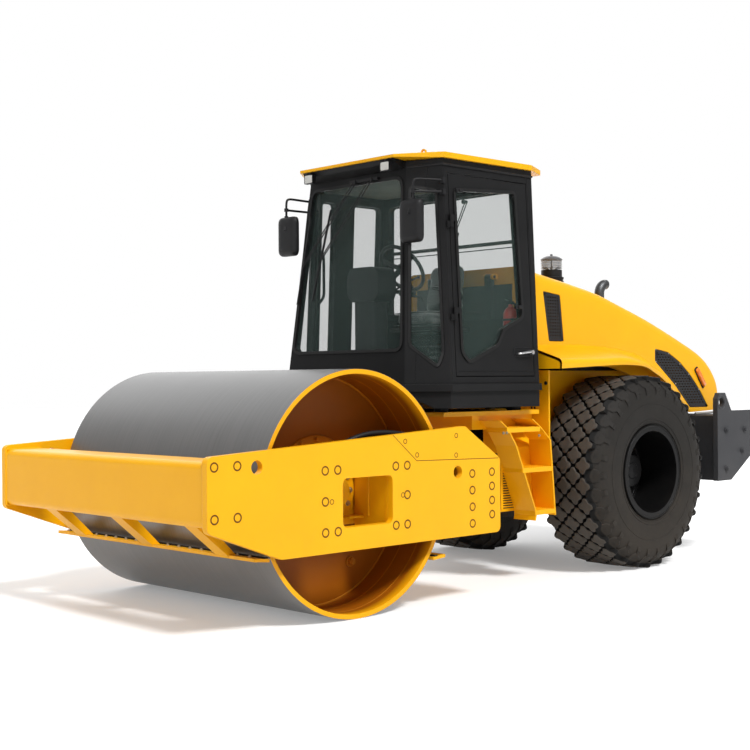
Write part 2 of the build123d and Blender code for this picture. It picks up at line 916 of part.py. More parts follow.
def door_window_cut():
    """The opening in the door."""
    outline = [(pivot_x + x, z) for x, z in door_window]
    return side_prism(outline, (0, far))


def door_zone(gap):
    """The door's place in the left wall, wider by a gap."""
    return block((pivot_x + door_rear - gap, pivot_x + door_front + gap), (0, far),
                 (door_low - gap, door_high + gap))


right_windows = [(200, 56), (-135, -425)]


def right_window_cut(index, gap):
    """One of the two openings in the right wall, or its pane."""
    high_x, low_x = right_windows[index]
    zone = block((pivot_x + low_x + gap, pivot_x + high_x - gap), (-far, 0),
                 (side_window_low + gap, side_window_high - gap))
    return round_edges(zone, Axis.Y, side_window_corner)


def rear_window_cut(gap):
    """The opening in the rear wall, or its pane."""
    half = rear_window_half - gap
    zone = block((pivot_x - far, pivot_x + right_windows[1][0]), (-half, half),
                 (rear_window_low + gap, side_window_high - gap))
    return round_edges(zone, Axis.X, rear_window_corner)


hinge_x = pivot_x + door_front + panel_gap / 2


def hinge_point(height):
    """A point on the door's hinge line."""
    return (hinge_x, side_face_y(height) + hinge_stand_off, height)


def hinge_knuckle(height, reach):
    """One knuckle and its leaf, reaching along the cab from the hinge line."""
    barrel = rod(hinge_point(height), hinge_point(height + hinge_length), hinge_radius)
    leaf_x = tuple(sorted((hinge_x, hinge_x + reach)))
    leaf = block(leaf_x, (side_face_y(height + hinge_length) - 4, side_face_y(height) + hinge_stand_off),
                 (height + hinge_leaf_margin, height + hinge_length - hinge_leaf_margin))
    return barrel + (leaf - cab_loft(0))


def door():
    """The left door panel with its two hinge knuckles."""
    panel = (cab_skin & left_zone) - front_zone - rear_zone
    panel = panel & door_zone(0)
    panel = panel - door_window_cut()
    knuckles = [hinge_knuckle(height + hinge_length + seat_gap, hinge_leaf_door) for height in hinge_heights]
    return joined([panel] + knuckles)


def left_side():
    """The left wall with its corner panel and door frame."""
    wall = (cab_skin & left_zone) - front_zone - rear_zone
    wall = wall - door_zone(panel_gap)
    wall = wall - quarter_cut(1, 0)
    knuckles = [hinge_knuckle(height, hinge_leaf_wall) for height in hinge_heights]
    return joined([wall] + knuckles)


def right_side():
    """The right wall with its corner panel and two windows."""
    wall = (cab_skin & right_zone) - front_zone - rear_zone
    for index in range(len(right_windows)):
        wall = wall - right_window_cut(index, 0)
    return wall - quarter_cut(-1, 0)


def cab_glass():
    """The fixed panes, each in the middle of its wall."""
    panes = [pane_skin & screen_cut(seat_gap), pane_skin & quarter_cut(1, seat_gap),
             pane_skin & quarter_cut(-1, seat_gap), pane_skin & rear_window_cut(seat_gap)]
    for index in range(len(right_windows)):
        panes.append(pane_skin & right_window_cut(index, seat_gap))
    return panes


def door_glass():
    """The door's pane."""
    outline = inset_window(door_window, seat_gap)
    cut = side_prism([(pivot_x + x, z) for x, z in outline], (0, far))
    return pane_skin & cut


def inset_window(points, gap):
    """The door window's outline, moved in by a small gap."""
    middle_x = sum(x for x, z in points) / len(points)
    middle_z = sum(z for x, z in points) / len(points)
    moved = []
    for x, z in points:
        reach = math.dist((x, z), (middle_x, middle_z))
        share = 1 - 2 * gap / reach
        moved.append((middle_x + (x - middle_x) * share, middle_z + (z - middle_z) * share))
    return moved


def cab_base():
    """The tub under the cab, with its ledge and tapered front."""
    plan = cab_plan(cab_sill)
    tub = plan_prism(plan, (cab_base_low, cab_sill))
    band = plan_prism(inset(plan, -ledge), (ledge_low, ledge_high))
    front = pivot_x + sill_plan["front"]
    taper = side_prism([(front + ledge + 1, cab_base_low - 1), (front - base_taper, cab_base_low - 1),
                        (front + ledge + 1, ledge_low)], (-far, far))
    behind = block((pivot_x - far, pivot_x + sill_plan["rear"]), (-far, far), (0, 2 * far))
    return (tub + band) - taper - behind


def roof_plan():
    """The roof cap's plan, at the sides of the band."""
    front = pivot_x + roof_front
    left = [(front, roof_front_half), (pivot_x + roof_left_corner, roof_side),
            (pivot_x + roof_side_rear, roof_side), (pivot_x + roof_rear, roof_rear_half)]
    right = [(pivot_x + roof_rear, -roof_rear_half), (pivot_x + roof_side_rear, -roof_side),
             (pivot_x + roof_right_corner, -roof_side), (front, -roof_front_half)]
    return left + right


def cab_roof():
    """The roof cap with its band, crown and four lifting eyes."""
    plan = roof_plan()
    band = plan_prism(plan, (roof_low, roof_low + roof_band))
    low = Wire.make_polygon([(x, y, roof_low + roof_band) for x, y in plan], close=True)
    top_z = roof_low + roof_band + roof_crown
    high = Wire.make_polygon([(x, y, top_z) for x, y in inset(plan, roof_inset)], close=True)
    cap = band + Solid.make_loft([low, high], ruled=True)
    front = pivot_x + roof_front
    cap = cap - side_prism([(front + 1, roof_low - 1), (front + 1, roof_low + roof_band - roof_lip),
                            (front - roof_lip_run, roof_low - 1)], (-far, far))
    eyes = []
    eye_z = top_z + roof_eye_rise
    for along in roof_eye_places:
        for y in (-roof_eye_y, roof_eye_y):
            low = (pivot_x + along - roof_eye_half, y, eye_z)
            high = (pivot_x + along + roof_eye_half, y, eye_z)
            eyes.append(tube(low, high, roof_eye_radius, roof_eye_bore))
    return joined([cap] + eyes)


def roof_frame():
    """The black frame between the walls and the cap, with its visor."""
    ring = plan_prism(cab_plan(cab_top), (cab_top, roof_low))
    front = pivot_x + roof_front
    face = front_face_x(cab_top)
    foot = front - visor_foot
    visor = side_prism([(front - visor_top[0], roof_low + visor_top[1]), (foot, roof_low),
                        (foot, cab_top), (face, cab_top), (face + 2, cab_top - visor_gap),
                        (front - visor_low[0], roof_low + visor_low[1])], (-visor_half, visor_half))
    return ring + visor


def work_lights():
    """Two lamp bodies under the roof's front edge."""
    front = pivot_x + roof_front
    lamps = []
    for y in (-lamp_y, lamp_y):
        lamps.append(block((front - lamp_back, front - lamp_front), (y - lamp_half, y + lamp_half),
                           (cab_top - lamp_drop, roof_low - 2)))
    return lamps


def mirror_and_arm(side, wall_share):
    """A mirror on its two-bar arm, which starts at a share of the corner panel."""
    head_x = pivot_x + mirror_ahead
    head_y = side * mirror_y
    head = block((head_x - mirror_half_x, head_x + mirror_half_x),
                 (head_y - mirror_half_y, head_y + mirror_half_y), mirror_z)
    head = round_edges(head, Axis.X, mirror_corner)
    post_y = head_y + side * mirror_post_shift
    low, high = mirror_post_z
    arm = [rod((head_x, post_y, low), (head_x, post_y, high), mirror_post_radius)]
    for height in mirror_arm_heights:
        wall = corner_point(side, wall_share, height)
        arm.append(rod(tuple(wall), (head_x, post_y, height), mirror_arm_radius))
    return joined([head] + arm) - cab_loft(0)


# Inside the cab
wheel_centre = Vector(pivot_x + wheel_ahead, 0, wheel_height)
wheel_lean = Vector(wheel_lean_x, 0, wheel_lean_z).normalized()


def console():
    """The front console with its rounded binnacle."""
    x = pivot_x + console_ahead
    column = block((x + column_x[0], x + column_x[1]), (-column_half, column_half),
                   (cab_sill, column_top))
    binnacle = block((x + binnacle_x[0], x + binnacle_x[1]), (-binnacle_half, binnacle_half),
                     (column_top, binnacle_top))
    binnacle = round_edges(binnacle, Axis.X, binnacle_corner)
    post_end = wheel_centre - wheel_lean * (wheel_hub_drop + seat_gap)
    post = rod((x + post_foot[0], 0, post_foot[1]), tuple(post_end), post_radius)
    return joined([round_edges(column, Axis.Z, column_corner), binnacle, post])


def steering_wheel():
    """The wheel on its tilted column."""
    centre = wheel_centre
    lean = wheel_lean
    plane = Plane(origin=centre, z_dir=lean)
    ring = Solid.make_torus(wheel_ring_radius, wheel_grip_radius, plane)
    hub_plane = Plane(origin=centre - lean * wheel_hub_drop, z_dir=lean)
    hub = Solid.make_cylinder(wheel_hub_disc_radius, wheel_hub_depth, hub_plane)
    spokes = []
    for angle in spoke_angles:
        turn = math.radians(angle)
        across = spoke_length * math.cos(turn)
        along = spoke_length * math.sin(turn)
        tip = plane.from_local_coords(Vector(across, along, 0))
        spokes.append(rod(tuple(centre - lean * spoke_drop), tuple(tip), spoke_radius))
    return joined([ring, hub] + spokes)


seat_x = pivot_x + seat_ahead


def seat_base():
    """The pedestal under the seat."""
    foot_top = cab_sill + seat_foot_thick
    foot = block((seat_x - seat_foot_half, seat_x + seat_foot_half), (-seat_foot_half, seat_foot_half),
                 (cab_sill, foot_top))
    stem = block((seat_x - seat_stem_half, seat_x + seat_stem_half), (-seat_stem_half, seat_stem_half),
                 (foot_top, seat_tray_z[0]))
    tray = block((seat_x + seat_tray_x[0], seat_x + seat_tray_x[1]), (-seat_tray_half, seat_tray_half),
                 seat_tray_z)
    return joined([foot, stem, tray])


def seat():
    """The cushion and the backrest."""
    low = seat_tray_z[1] + seat_gap
    cushion = block((seat_x + cushion_x[0], seat_x + cushion_x[1]), (-cushion_half, cushion_half),
                    (low, cushion_top))
    back_line = [(cushion_x[0], low)] + backrest_line
    back = side_prism([(seat_x + x, z) for x, z in back_line], (-backrest_half, backrest_half))
    return joined([round_edges(cushion, Axis.Z, cushion_corner), back])


# Hood
def along_axle(points):
    """Moves an outline from the rear axle to its place."""
    return [(axle_x + x, z) for x, z in points]


def hood_outline(distance):
    """The hood's top line, moved inwards by a distance."""
    moved = []
    for index, (x, z) in enumerate(hood_top):
        before = hood_top[max(index - 1, 0)]
        after = hood_top[min(index + 1, len(hood_top) - 1)]
        length = math.dist(before, after)
        normal = ((after[1] - before[1]) / length, -(after[0] - before[0]) / length)
        moved.append((x - normal[0] * distance, z - normal[1] * distance))
    return moved


def hood_block(distance, bottom, half):
    """The hood's body under its top line."""
    outline = along_axle(hood_outline(distance) + bottom)
    return side_prism(outline, (-half, half))


def flare(outer):
    """The left mudguard flare, or the space under it."""
    wires = []
    for along, edge, top_in, top_out, lip in flare_sections:
        if outer:
            points = [(hood_half, lip), (edge, lip), (edge, top_out), (hood_half, top_in)]
        else:
            if along == hood_front:
                along = along - flare_wall
            root = hood_half - flare_overlap
            points = [(root, lip - flare_drop), (edge - flare_wall, lip - flare_drop),
                      (edge - flare_wall, top_out - flare_wall), (root, top_in - flare_wall)]
        wires.append(Wire.make_polygon([(axle_x + along, y, z) for y, z in points], close=True))
    return Solid.make_loft(wires, ruled=True)


def round_top(solid, line, half, radius):
    """Rounds the two long edges along a top line."""
    middles = [((x0 + x1) / 2, (z0 + z1) / 2) for (x0, z0), (x1, z1) in zip(line, line[1:])]
    rounded = []
    for edge in solid.edges():
        centre = edge.center()
        nearest = min(math.dist((centre.X, centre.Z), middle) for middle in middles)
        if nearest < 1 and abs(abs(centre.Y) - half) < 1:
            rounded.append(edge)
    return solid.fillet(radius, rounded)


def hood_body():
    """The hood's outer shape, filled and with its long edges rounded."""
    outer = hood_block(0, [hood_rear_foot] + arch_line, hood_half)
    return round_top(outer, along_axle(hood_top), hood_half, hood_round)


def hood_space():
    """The space inside the hood, open below."""
    half = hood_half - hood_wall
    inner = hood_block(hood_wall, [(hood_rear_foot[0] + hood_wall, 1000), (hood_front, 1000)], half)
    inner = round_top(inner, along_axle(hood_outline(hood_wall)), half, hood_round - hood_wall)
    return inner - block((axle_x + hood_front - hood_wall, axle_x + far), (-far, far), (0, 2 * far))


def hinge_lug(y):
    """One lug of the hood on its hinge pin."""
    pin_x = axle_x + hood_hinge[0]
    pin_z = hood_hinge[1]
    lug = block((axle_x + hood_front - 1, pin_x), (y, y + hinge_lug_thick),
                (pin_z - hinge_lug_radius, pin_z + hinge_lug_radius))
    lug = lug + rod((pin_x, y, pin_z), (pin_x, y + hinge_lug_thick, pin_z), hinge_lug_radius)
    bore = hinge_pin_radius + running_gap
    return lug - rod((pin_x, y - 1, pin_z), (pin_x, y + hinge_lug_thick + 1, pin_z), bore)


def hood_brackets():
    """Two posts behind the cab that carry the hood's hinge pins."""
    pin_x = axle_x + hood_hinge[0]
    pin_z = hood_hinge[1]
    low = table_high + platform_thick + seat_gap
    bar_half = hinge_lug_radius - hinge_pin_rest
    pieces = [block((pin_x - bar_half, pin_x + bar_half), (-hinge_bracket_y, hinge_bracket_y),
                    (pin_z + hinge_bar_z[0], pin_z + hinge_bar_z[1]))]
    for side in (-1, 1):
        y = side * hinge_bracket_y
        post_y = (y - hinge_bracket_half, y + hinge_bracket_half)
        pieces.append(block((pin_x - hinge_lug_radius, pin_x + hinge_lug_radius), post_y, (low, pin_z)))
        pieces.append(rod((pin_x, post_y[0], pin_z), (pin_x, post_y[1], pin_z), hinge_lug_radius))
        pin_reach = hinge_bracket_half + hinge_lug_thick + hinge_pin_rest
        pieces.append(rod((pin_x, y - pin_reach, pin_z), (pin_x, y + pin_reach, pin_z), hinge_pin_radius))
    return joined(pieces)


def hood(outer):
    """The one-piece hood with its hinge lugs and grille openings."""
    lug = hinge_lug(hinge_bracket_y + hinge_bracket_half + seat_gap)
    far_lug = hinge_lug(hinge_bracket_y - hinge_bracket_half - seat_gap - hinge_lug_thick)
    lugs = [lug, far_lug]
    lugs += [piece.mirror(Plane.XZ) for piece in lugs]
    shell = joined([outer - hood_space()] + lugs)
    for outline in (front_grille, rear_grille):
        opening = side_prism(along_axle(outline), (hood_half - hood_wall - 2, hood_half + 2))
        shell = shell - opening - opening.mirror(Plane.XZ)
    return shell


def hood_grilles():
    """The four perforated panels in the hood's sides."""
    panels = []
    for outline in (front_grille, rear_grille):
        points = inset_window(outline, seat_gap)
        outer = hood_half - grille_depth
        panel = side_prism(along_axle(points), (outer - grille_thick, outer))
        panels += left_and_right(panel)
    return panels


def precleaner():
    """The air intake's bowl and cap on the hood."""
    x = axle_x + intake_along
    y = intake_y
    ring_low, ring_high = intake_ring_z
    ring = rod((x, y, ring_low), (x, y, ring_high), intake_ring_radius)
    body = rod((x, y, ring_high), (x, y, intake_body_top), intake_body_radius)
    low_radius, high_radius = intake_cap_radius
    dome = Solid.make_cone(low_radius, high_radius, intake_cap_rise, Plane(origin=(x, y, intake_body_top)))
    dome_top = intake_body_top + intake_cap_rise
    knob = rod((x, y, dome_top), (x, y, intake_knob_top), intake_knob_radius)
    return joined([ring, body, dome, knob])


def exhaust_stub():
    """The curved exhaust outlet on the hood."""
    x = axle_x + exhaust_along
    y = exhaust_y
    low = Vector(x, y, exhaust_low)
    knee = Vector(x, y, exhaust_knee)
    middle, end = [Vector(x + along, y, height) for along, height in exhaust_bend]
    bend = Edge.make_three_point_arc(knee, middle, end)
    path = Wire([Edge.make_line(low, knee), bend])
    pipe = Solid.sweep(Face(Wire.make_circle(exhaust_radius, Plane(origin=low))), path)
    outlet = bend @ 1
    line = bend % 1
    bore_start = outlet - line * exhaust_bore_depth
    return pipe - rod(tuple(bore_start), tuple(outlet + line * exhaust_bore_margin), exhaust_bore)


front_hang_x = drum_x + beam_reach - beam_depth + front_hang_inset
rear_hang_x = cross_x[1] - rear_hang_inset
front_blade = scraper(1, math.radians(front_blade_angle), front_hang_x, drum_radius + beam_low)
rear_blade = scraper(-1, math.radians(rear_blade_angle), rear_hang_x, drum_radius + cross_low)

plate_left, plate_right = left_and_right(side_plate())
save("side_plate_left", plate_left)
save("side_plate_right", plate_right)
save("front_beam", front_beam())
save("rear_beam", rear_beam())
save("drum_mounts", *left_and_right(drum_mount()))
save("drum_scrapers", front_blade, rear_blade)
save("drum", drum())
save("drum_journals", *left_and_right(drum_journal()))
for side_name, wheel_index in (("left", 0), ("right", 1)):
    save(f"tyre_{side_name}", left_and_right(tyre())[wheel_index])
    save(f"rim_{side_name}", left_and_right(rim())[wheel_index])
    save(f"steering_barrel_{side_name}", left_and_right(cylinder_barrel())[wheel_index])
    save(f"steering_rod_{side_name}", left_and_right(cylinder_rod())[wheel_index])
save("rear_axle", rear_axle())
save("rear_chassis", chassis())
save("rear_hitch", rear_hitch())
save("chassis_rails", *left_and_right(rail()))
save("engine", engine())
save("arch_panels", *left_and_right(arch_panel()))
save("side_tanks", *left_and_right(side_tank()))
save("cab_platform", cab_platform())
save("cab_mounts", *cab_mounts())
save("counterweight", counterweight())
save("steps", steps())
save("cab_base", cab_base())
save("cab_front", (cab_skin & front_zone) - screen_cut(0) - quarter_cut(1, 0) - quarter_cut(-1, 0))
save("cab_rear", (cab_skin & rear_zone) - rear_window_cut(0))
save("cab_side_left", left_side())
save("cab_side_right", right_side())
save("cab_glass", *cab_glass())
lamps = work_lights()
save("roof_frame", roof_frame() - lamps[0] - lamps[1])
save("cab_roof", cab_roof())
save("work_lights", *lamps)
save("mirrors", mirror_and_arm(1, mirror_left_share), mirror_and_arm(-1, mirror_right_share))
save("console", console())
save("steering_wheel", steering_wheel())
save("seat_base", seat_base())
save("seat", seat())
save("door", door())
save("door_glass", door_glass())
hood_shape = hood_body()
save("hood", hood(hood_shape))
save("mudguards", *left_and_right(flare(True) - flare(False)))
save("hood_grilles", *hood_grilles())
save("hood_brackets", hood_brackets())
save("precleaner", precleaner() - hood_shape)
save("exhaust_stub", exhaust_stub() - hood_shape)
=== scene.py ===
import json
from math import copysign, cos, pi, radians, sin

import bmesh
import bpy
from mathutils import Matrix, Vector

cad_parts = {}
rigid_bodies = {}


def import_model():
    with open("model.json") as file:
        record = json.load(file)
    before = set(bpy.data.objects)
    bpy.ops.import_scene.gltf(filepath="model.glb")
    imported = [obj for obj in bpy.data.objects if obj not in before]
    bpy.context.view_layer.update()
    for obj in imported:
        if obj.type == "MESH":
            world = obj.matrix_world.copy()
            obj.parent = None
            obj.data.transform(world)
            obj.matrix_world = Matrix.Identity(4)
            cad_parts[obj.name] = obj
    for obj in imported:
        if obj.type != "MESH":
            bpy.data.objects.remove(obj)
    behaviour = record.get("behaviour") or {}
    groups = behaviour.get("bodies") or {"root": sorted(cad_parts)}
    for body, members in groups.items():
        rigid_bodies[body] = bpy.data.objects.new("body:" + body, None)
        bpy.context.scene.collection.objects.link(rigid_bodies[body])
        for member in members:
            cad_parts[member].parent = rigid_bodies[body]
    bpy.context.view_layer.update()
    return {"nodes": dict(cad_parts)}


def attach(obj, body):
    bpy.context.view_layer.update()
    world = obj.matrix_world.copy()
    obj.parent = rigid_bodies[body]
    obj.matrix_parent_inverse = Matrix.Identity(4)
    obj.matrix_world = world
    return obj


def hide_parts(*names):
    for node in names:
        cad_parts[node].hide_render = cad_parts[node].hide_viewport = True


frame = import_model()
nodes = frame["nodes"]

# machine layout in metres, as the frame has it
drumX, drumZ, axleX, tyreZ, pivotX = 1.779, 0.763, -1.271, 0.74, 0.279
drum, axle = Vector((drumX, 0, drumZ)), Vector((axleX, 0, tyreZ))
bothSides = (("Left", 1), ("Right", -1))
square = ((-1, -1), (1, -1), (1, 1), (-1, 1))
axisX, axisY, axisZ = Vector((1, 0, 0)), Vector((0, 1, 0)), Vector((0, 0, 1))


# shape helpers
def turns(count, shift=0.0):  # angles that share out a full turn
    return [2 * pi * (index + shift) / count for index in range(count)]


def circle(centre, first, second, radius, count, squash=1.0):  # points in the plane of two directions
    return [centre + first * radius * cos(a) + second * radius * squash * sin(a) for a in turns(count)]


def setAcross(points, y):  # the same outline, moved to one place across the machine
    return [Vector((p.x, y, p.z)) for p in points]


def roundPoint(centre, radius, y, angle):  # a point round a sideways axle
    return (centre.x + radius * sin(angle), y, centre.z + radius * cos(angle))


def addBox(bm, low, high, turn=None):  # a box between two corners, turned round its middle if asked
    middle = (Vector(low) + Vector(high)) / 2
    size = Vector(high) - Vector(low)
    place = Matrix.Translation(middle) @ (turn or Matrix.Identity(4)) @ Matrix.Diagonal((*size, 1))
    bmesh.ops.create_cube(bm, size=1.0, matrix=place)


def sideBox(bm, side, x, y, z):  # a box given for the left, put on either side
    low, high = sorted((side * y[0], side * y[1]))
    addBox(bm, (x[0], low, z[0]), (x[1], high, z[1]))


def addRod(bm, start, end, radius, endRadius=None, sides=20):
    start, end = Vector(start), Vector(end)
    line = end - start
    place = Matrix.Translation((start + end) / 2) @ line.to_track_quat("Z", "Y").to_matrix().to_4x4()
    bmesh.ops.create_cone(bm, cap_ends=True, segments=sides, radius1=radius, depth=line.length,
                          radius2=radius if endRadius is None else endRadius, matrix=place)


def addRings(bm, rings, closed=False, caps=True):  # joins rings of points, in order, with quads
    made = [[bm.verts.new(point) for point in ring] for ring in rings]
    for first, second in zip(made, made[1:] + (made[:1] if closed else [])):
        for index in range(len(first)):
            after = (index + 1) % len(first)
            bm.faces.new((first[index], first[after], second[after], second[index]))
    if caps and not closed:
        bm.faces.new(list(reversed(made[0])))
        bm.faces.new(made[-1])


def addLathe(bm, centre, profile, sides=64, axis="Y"):  # profile of (along the axis, radius), closed
    rings = []
    for angle in turns(sides):
        ring = []
        for along, radius in profile:
            flat = (radius * sin(angle), radius * cos(angle))
            offset = {"X": (along, *flat), "Y": (flat[0], along, flat[1]), "Z": (*flat, along)}[axis]
            ring.append(Vector(centre) + Vector(offset))
        rings.append(ring)
    addRings(bm, rings, closed=True)


def addHoop(bm, centre, along, radius, size, sides, thick=None, corners=8, axis="Y"):  # a bar bent round
    profile = [(along + size * cos(a), radius + (thick or size) * sin(a)) for a in turns(corners)]
    addLathe(bm, centre, profile, sides, axis)


def cornerArc(before, corner, after, steps, reachIn, reachOut):
    start = corner + (before - corner).normalized() * reachIn
    end = corner + (after - corner).normalized() * reachOut
    return [start * (1 - t) ** 2 + corner * 2 * t * (1 - t) + end * t ** 2
            for t in (step / steps for step in range(steps + 1))]


def roundCorners(points, radius, steps):  # rounds an open line, up to near each part's middle
    path = [points[0]]
    for before, corner, after in zip(points, points[1:], points[2:]):
        reaches = (min(radius, (other - corner).length * 0.49) for other in (before, after))
        path += cornerArc(before, corner, after, steps, *reaches)
    return path + [points[-1]]


def outlineRound(points, radius, steps=5):  # rounds every corner of a closed outline
    points = [Vector(p) for p in points]
    path = []
    for before, corner, after in zip(points[-1:] + points[:-1], points, points[1:] + points[:1]):
        reach = min(radius, (before - corner).length * 0.45, (after - corner).length * 0.45)
        path += cornerArc(before, corner, after, steps, reach, reach)
    return path


def addPipe(bm, points, radius, sides=12, rounding=0.0, steps=5):  # a tube along points
    path = [Vector(p) for p in points]
    if rounding:
        path = roundCorners(path, rounding, steps)
    rings, side = [], None
    for index, point in enumerate(path):
        line = (path[min(index + 1, len(path) - 1)] - path[max(index - 1, 0)]).normalized()
        side = line.orthogonal().normalized() if side is None else side
        side = (side - line * side.dot(line)).normalized()
        rings.append(circle(point, side, line.cross(side), radius, sides))
    addRings(bm, rings)


def addStrip(bm, points, width, depth, outward, closed=True, inset=0.0):
    # a flat bar along a line of points, its width in the line's plane and its depth along outward
    points, outward = [Vector(p) for p in points], Vector(outward).normalized()
    count, rings = len(points), []
    for index, point in enumerate(points):
        before = points[index - 1] if closed or index else None
        after = points[(index + 1) % count] if closed or index < count - 1 else None
        lineIn = (point - before if before is not None else after - point).normalized()
        lineOut = (after - point).normalized() if after is not None else lineIn
        sideIn = lineIn.cross(outward)
        side = (sideIn + lineOut.cross(outward)).normalized()
        side = side / max(side.dot(sideIn), 0.4)
        inner, outer = point + side * inset, point + side * (inset + width)
        rings.append([inner, outer, outer + outward * depth, inner + outward * depth])
    addRings(bm, rings, closed=closed)


def linkObject(name, data):
    thing = bpy.data.objects.new(name, data)
    bpy.context.scene.collection.objects.link(thing)
    return thing


def linkMesh(name, bm):
    bmesh.ops.remove_doubles(bm, verts=bm.verts, dist=0.00002)
    bmesh.ops.recalc_face_normals(bm, faces=bm.faces)
    mesh = bpy.data.meshes.new(name)
    bm.to_mesh(mesh)
    bm.free()
    return linkObject(name, mesh)


def soften(piece, width):
    bevel = piece.modifiers.new("softEdges", "BEVEL")
    bevel.width, bevel.segments = width, 2
    bevel.limit_method, bevel.angle_limit = "ANGLE", radians(35)
    bevel.harden_normals = False


def makePiece(name, shape, look, body="rear_frame", stands=(), edge=0.0, smooth=40.0):
    piece = linkMesh(name, shape) if isinstance(shape, bmesh.types.BMesh) else shape
    if not piece.data.materials:
        piece.data.materials.append(finish[look])
    if smooth:
        for polygon in piece.data.polygons:
            polygon.use_smooth = True
        piece.data.set_sharp_from_angle(angle=radians(smooth))
    if edge:
        soften(piece, edge)
    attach(piece, body)
    if stands:
        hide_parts(*stands)
    return piece


# node tree helpers
def socketAt(links, where, value):
    if isinstance(value, bpy.types.NodeSocket):
        links.new(value, where)
    elif value is not None:
        where.default_value = value


def shaderNode(tree, kind, inputs=None, **settings):
    node = tree.nodes.new(kind)
    for key, value in settings.items():
        setattr(node, key, value)
    feed(tree, node, inputs or {})
    return node


def feed(tree, node, inputs):
    for key, value in inputs.items():
        socketAt(tree.links, node.inputs[key], value)


def objectPlace(tree):
    return tree.nodes.new("ShaderNodeTexCoord").outputs["Object"]


def ramp(tree, value, low, high):
    inputs = {"Value": value, "From Min": low, "From Max": high}
    return shaderNode(tree, "ShaderNodeMapRange", inputs).outputs["Result"]


def mixColour(tree, factor, first, second):
    first, second = ((*c, 1) if isinstance(c, tuple) else c for c in (first, second))
    return shaderNode(tree, "ShaderNodeMix", {0: factor, 6: first, 7: second}, data_type="RGBA").outputs[2]


def mathNode(tree, kind, first, second=None):
    return shaderNode(tree, "ShaderNodeMath", {0: first, 1: second}, operation=kind).outputs[0]


def sumUp(tree, start, *parts):  # start plus each (value, share) in turn
    for value, share in parts:
        start = mathNode(tree, "ADD", start, mathNode(tree, "MULTIPLY", value, share))
    return start


def noise(tree, place, scale, detail, roughness=None):
    inputs = {"Vector": place, "Scale": scale, "Detail": detail, "Roughness": roughness}
    return shaderNode(tree, "ShaderNodeTexNoise", inputs).outputs["Fac"]


def makeGroup(name, inputs, outputs):
    tree = bpy.data.node_groups.new(name, "ShaderNodeTree")
    for label, value in inputs.items():
        socket = tree.interface.new_socket(label, in_out="INPUT", socket_type="NodeSocketFloat")
        socket.default_value = value
    for label in outputs:
        tree.interface.new_socket(label, in_out="OUTPUT", socket_type="NodeSocketFloat")
    return tree, tree.nodes.new("NodeGroupInput").outputs, tree.nodes.new("NodeGroupOutput")


def buildSurfaceGroup():  # grime that gathers low down and in soft patches, plus a fine grain
    tree, entry, leave = makeGroup("surfaceWear", {
        "Grime Height": 0.9, "Grime Amount": 0.5, "Patch Scale": 3.0, "Grain Scale": 300.0},
        ("Grime", "Patch", "Grain"))
    place = objectPlace(tree)
    parts = shaderNode(tree, "ShaderNodeSeparateXYZ", {"Vector": place})
    patch = noise(tree, place, entry["Patch Scale"], 6.0, 0.6)
    fine = noise(tree, place, entry["Grain Scale"], 2.0, 0.5)
    speck = noise(tree, place, 34.0, 5.0)
    lowness = mathNode(tree, "SUBTRACT", entry["Grime Height"], parts.outputs["Z"])
    lowness = mathNode(tree, "MULTIPLY", lowness, 1.1)
    mask = ramp(tree, sumUp(tree, lowness, (patch, 0.9), (speck, 0.5)), 0.75, 1.7)
    grime = mathNode(tree, "MULTIPLY", mask, entry["Grime Amount"])
    feed(tree, leave, {"Grime": grime, "Patch": patch, "Grain": fine})
    return tree


def buildScratchGroup():  # long fine marks across one axis, for rolled steel and bright rods
    tree, entry, leave = makeGroup("rollingMarks", {"Along": 2.0, "Across": 90.0, "Contrast": 1.0}, ("Marks",))
    place = objectPlace(tree)
    size = shaderNode(tree, "ShaderNodeCombineXYZ", {"X": entry["Along"], "Y": entry["Across"],
                                                     "Z": entry["Along"]})
    spread = shaderNode(tree, "ShaderNodeVectorMath", {0: place, 1: size.outputs[0]}, operation="MULTIPLY")
    sharp = ramp(tree, noise(tree, spread.outputs[0], 1.0, 4.0, 0.65), 0.3, 0.7)
    feed(tree, leave, {"Marks": mathNode(tree, "MULTIPLY", sharp, entry["Contrast"])})
    return tree


surfaceGroup, scratchGroup = buildSurfaceGroup(), buildScratchGroup()


def useGroup(tree, group, **values):
    node = tree.nodes.new("ShaderNodeGroup")
    node.node_tree = group
    feed(tree, node, {key.replace("_", " "): value for key, value in values.items()})
    return node.outputs


def startMaterial(name, colour, roughness, metallic=0.0, **extra):
    material = bpy.data.materials.new(name)
    material.use_nodes = True
    tree = material.node_tree
    shader = tree.nodes["Principled BSDF"]
    feed(tree, shader, {"Base Color": (*colour, 1), "Roughness": roughness, "Metallic": metallic,
                        **{key.replace("_", " "): value for key, value in extra.items()}})
    return material, tree, shader


def bumpFrom(tree, shader, height, strength, distance, edge=0.0):
    bump = shaderNode(tree, "ShaderNodeBump", {"Height": height, "Strength": strength, "Distance": distance})
    if edge:  # worn-round edges on the carried-over parts
        rounded = shaderNode(tree, "ShaderNodeBevel", {"Radius": edge}, samples=4)
        feed(tree, bump, {"Normal": rounded.outputs[0]})
    feed(tree, shader, {"Normal": bump.outputs["Normal"]})


# what a finish says when it names nothing else
plainLook = dict(coat=0.0, shine=0.25, grimeHeight=0.4, grime=0.25, grain=320.0, patch=3.0, bump=0.08,
    dust=(0.16, 0.13, 0.1), depth=0.0006, edge=0.0)


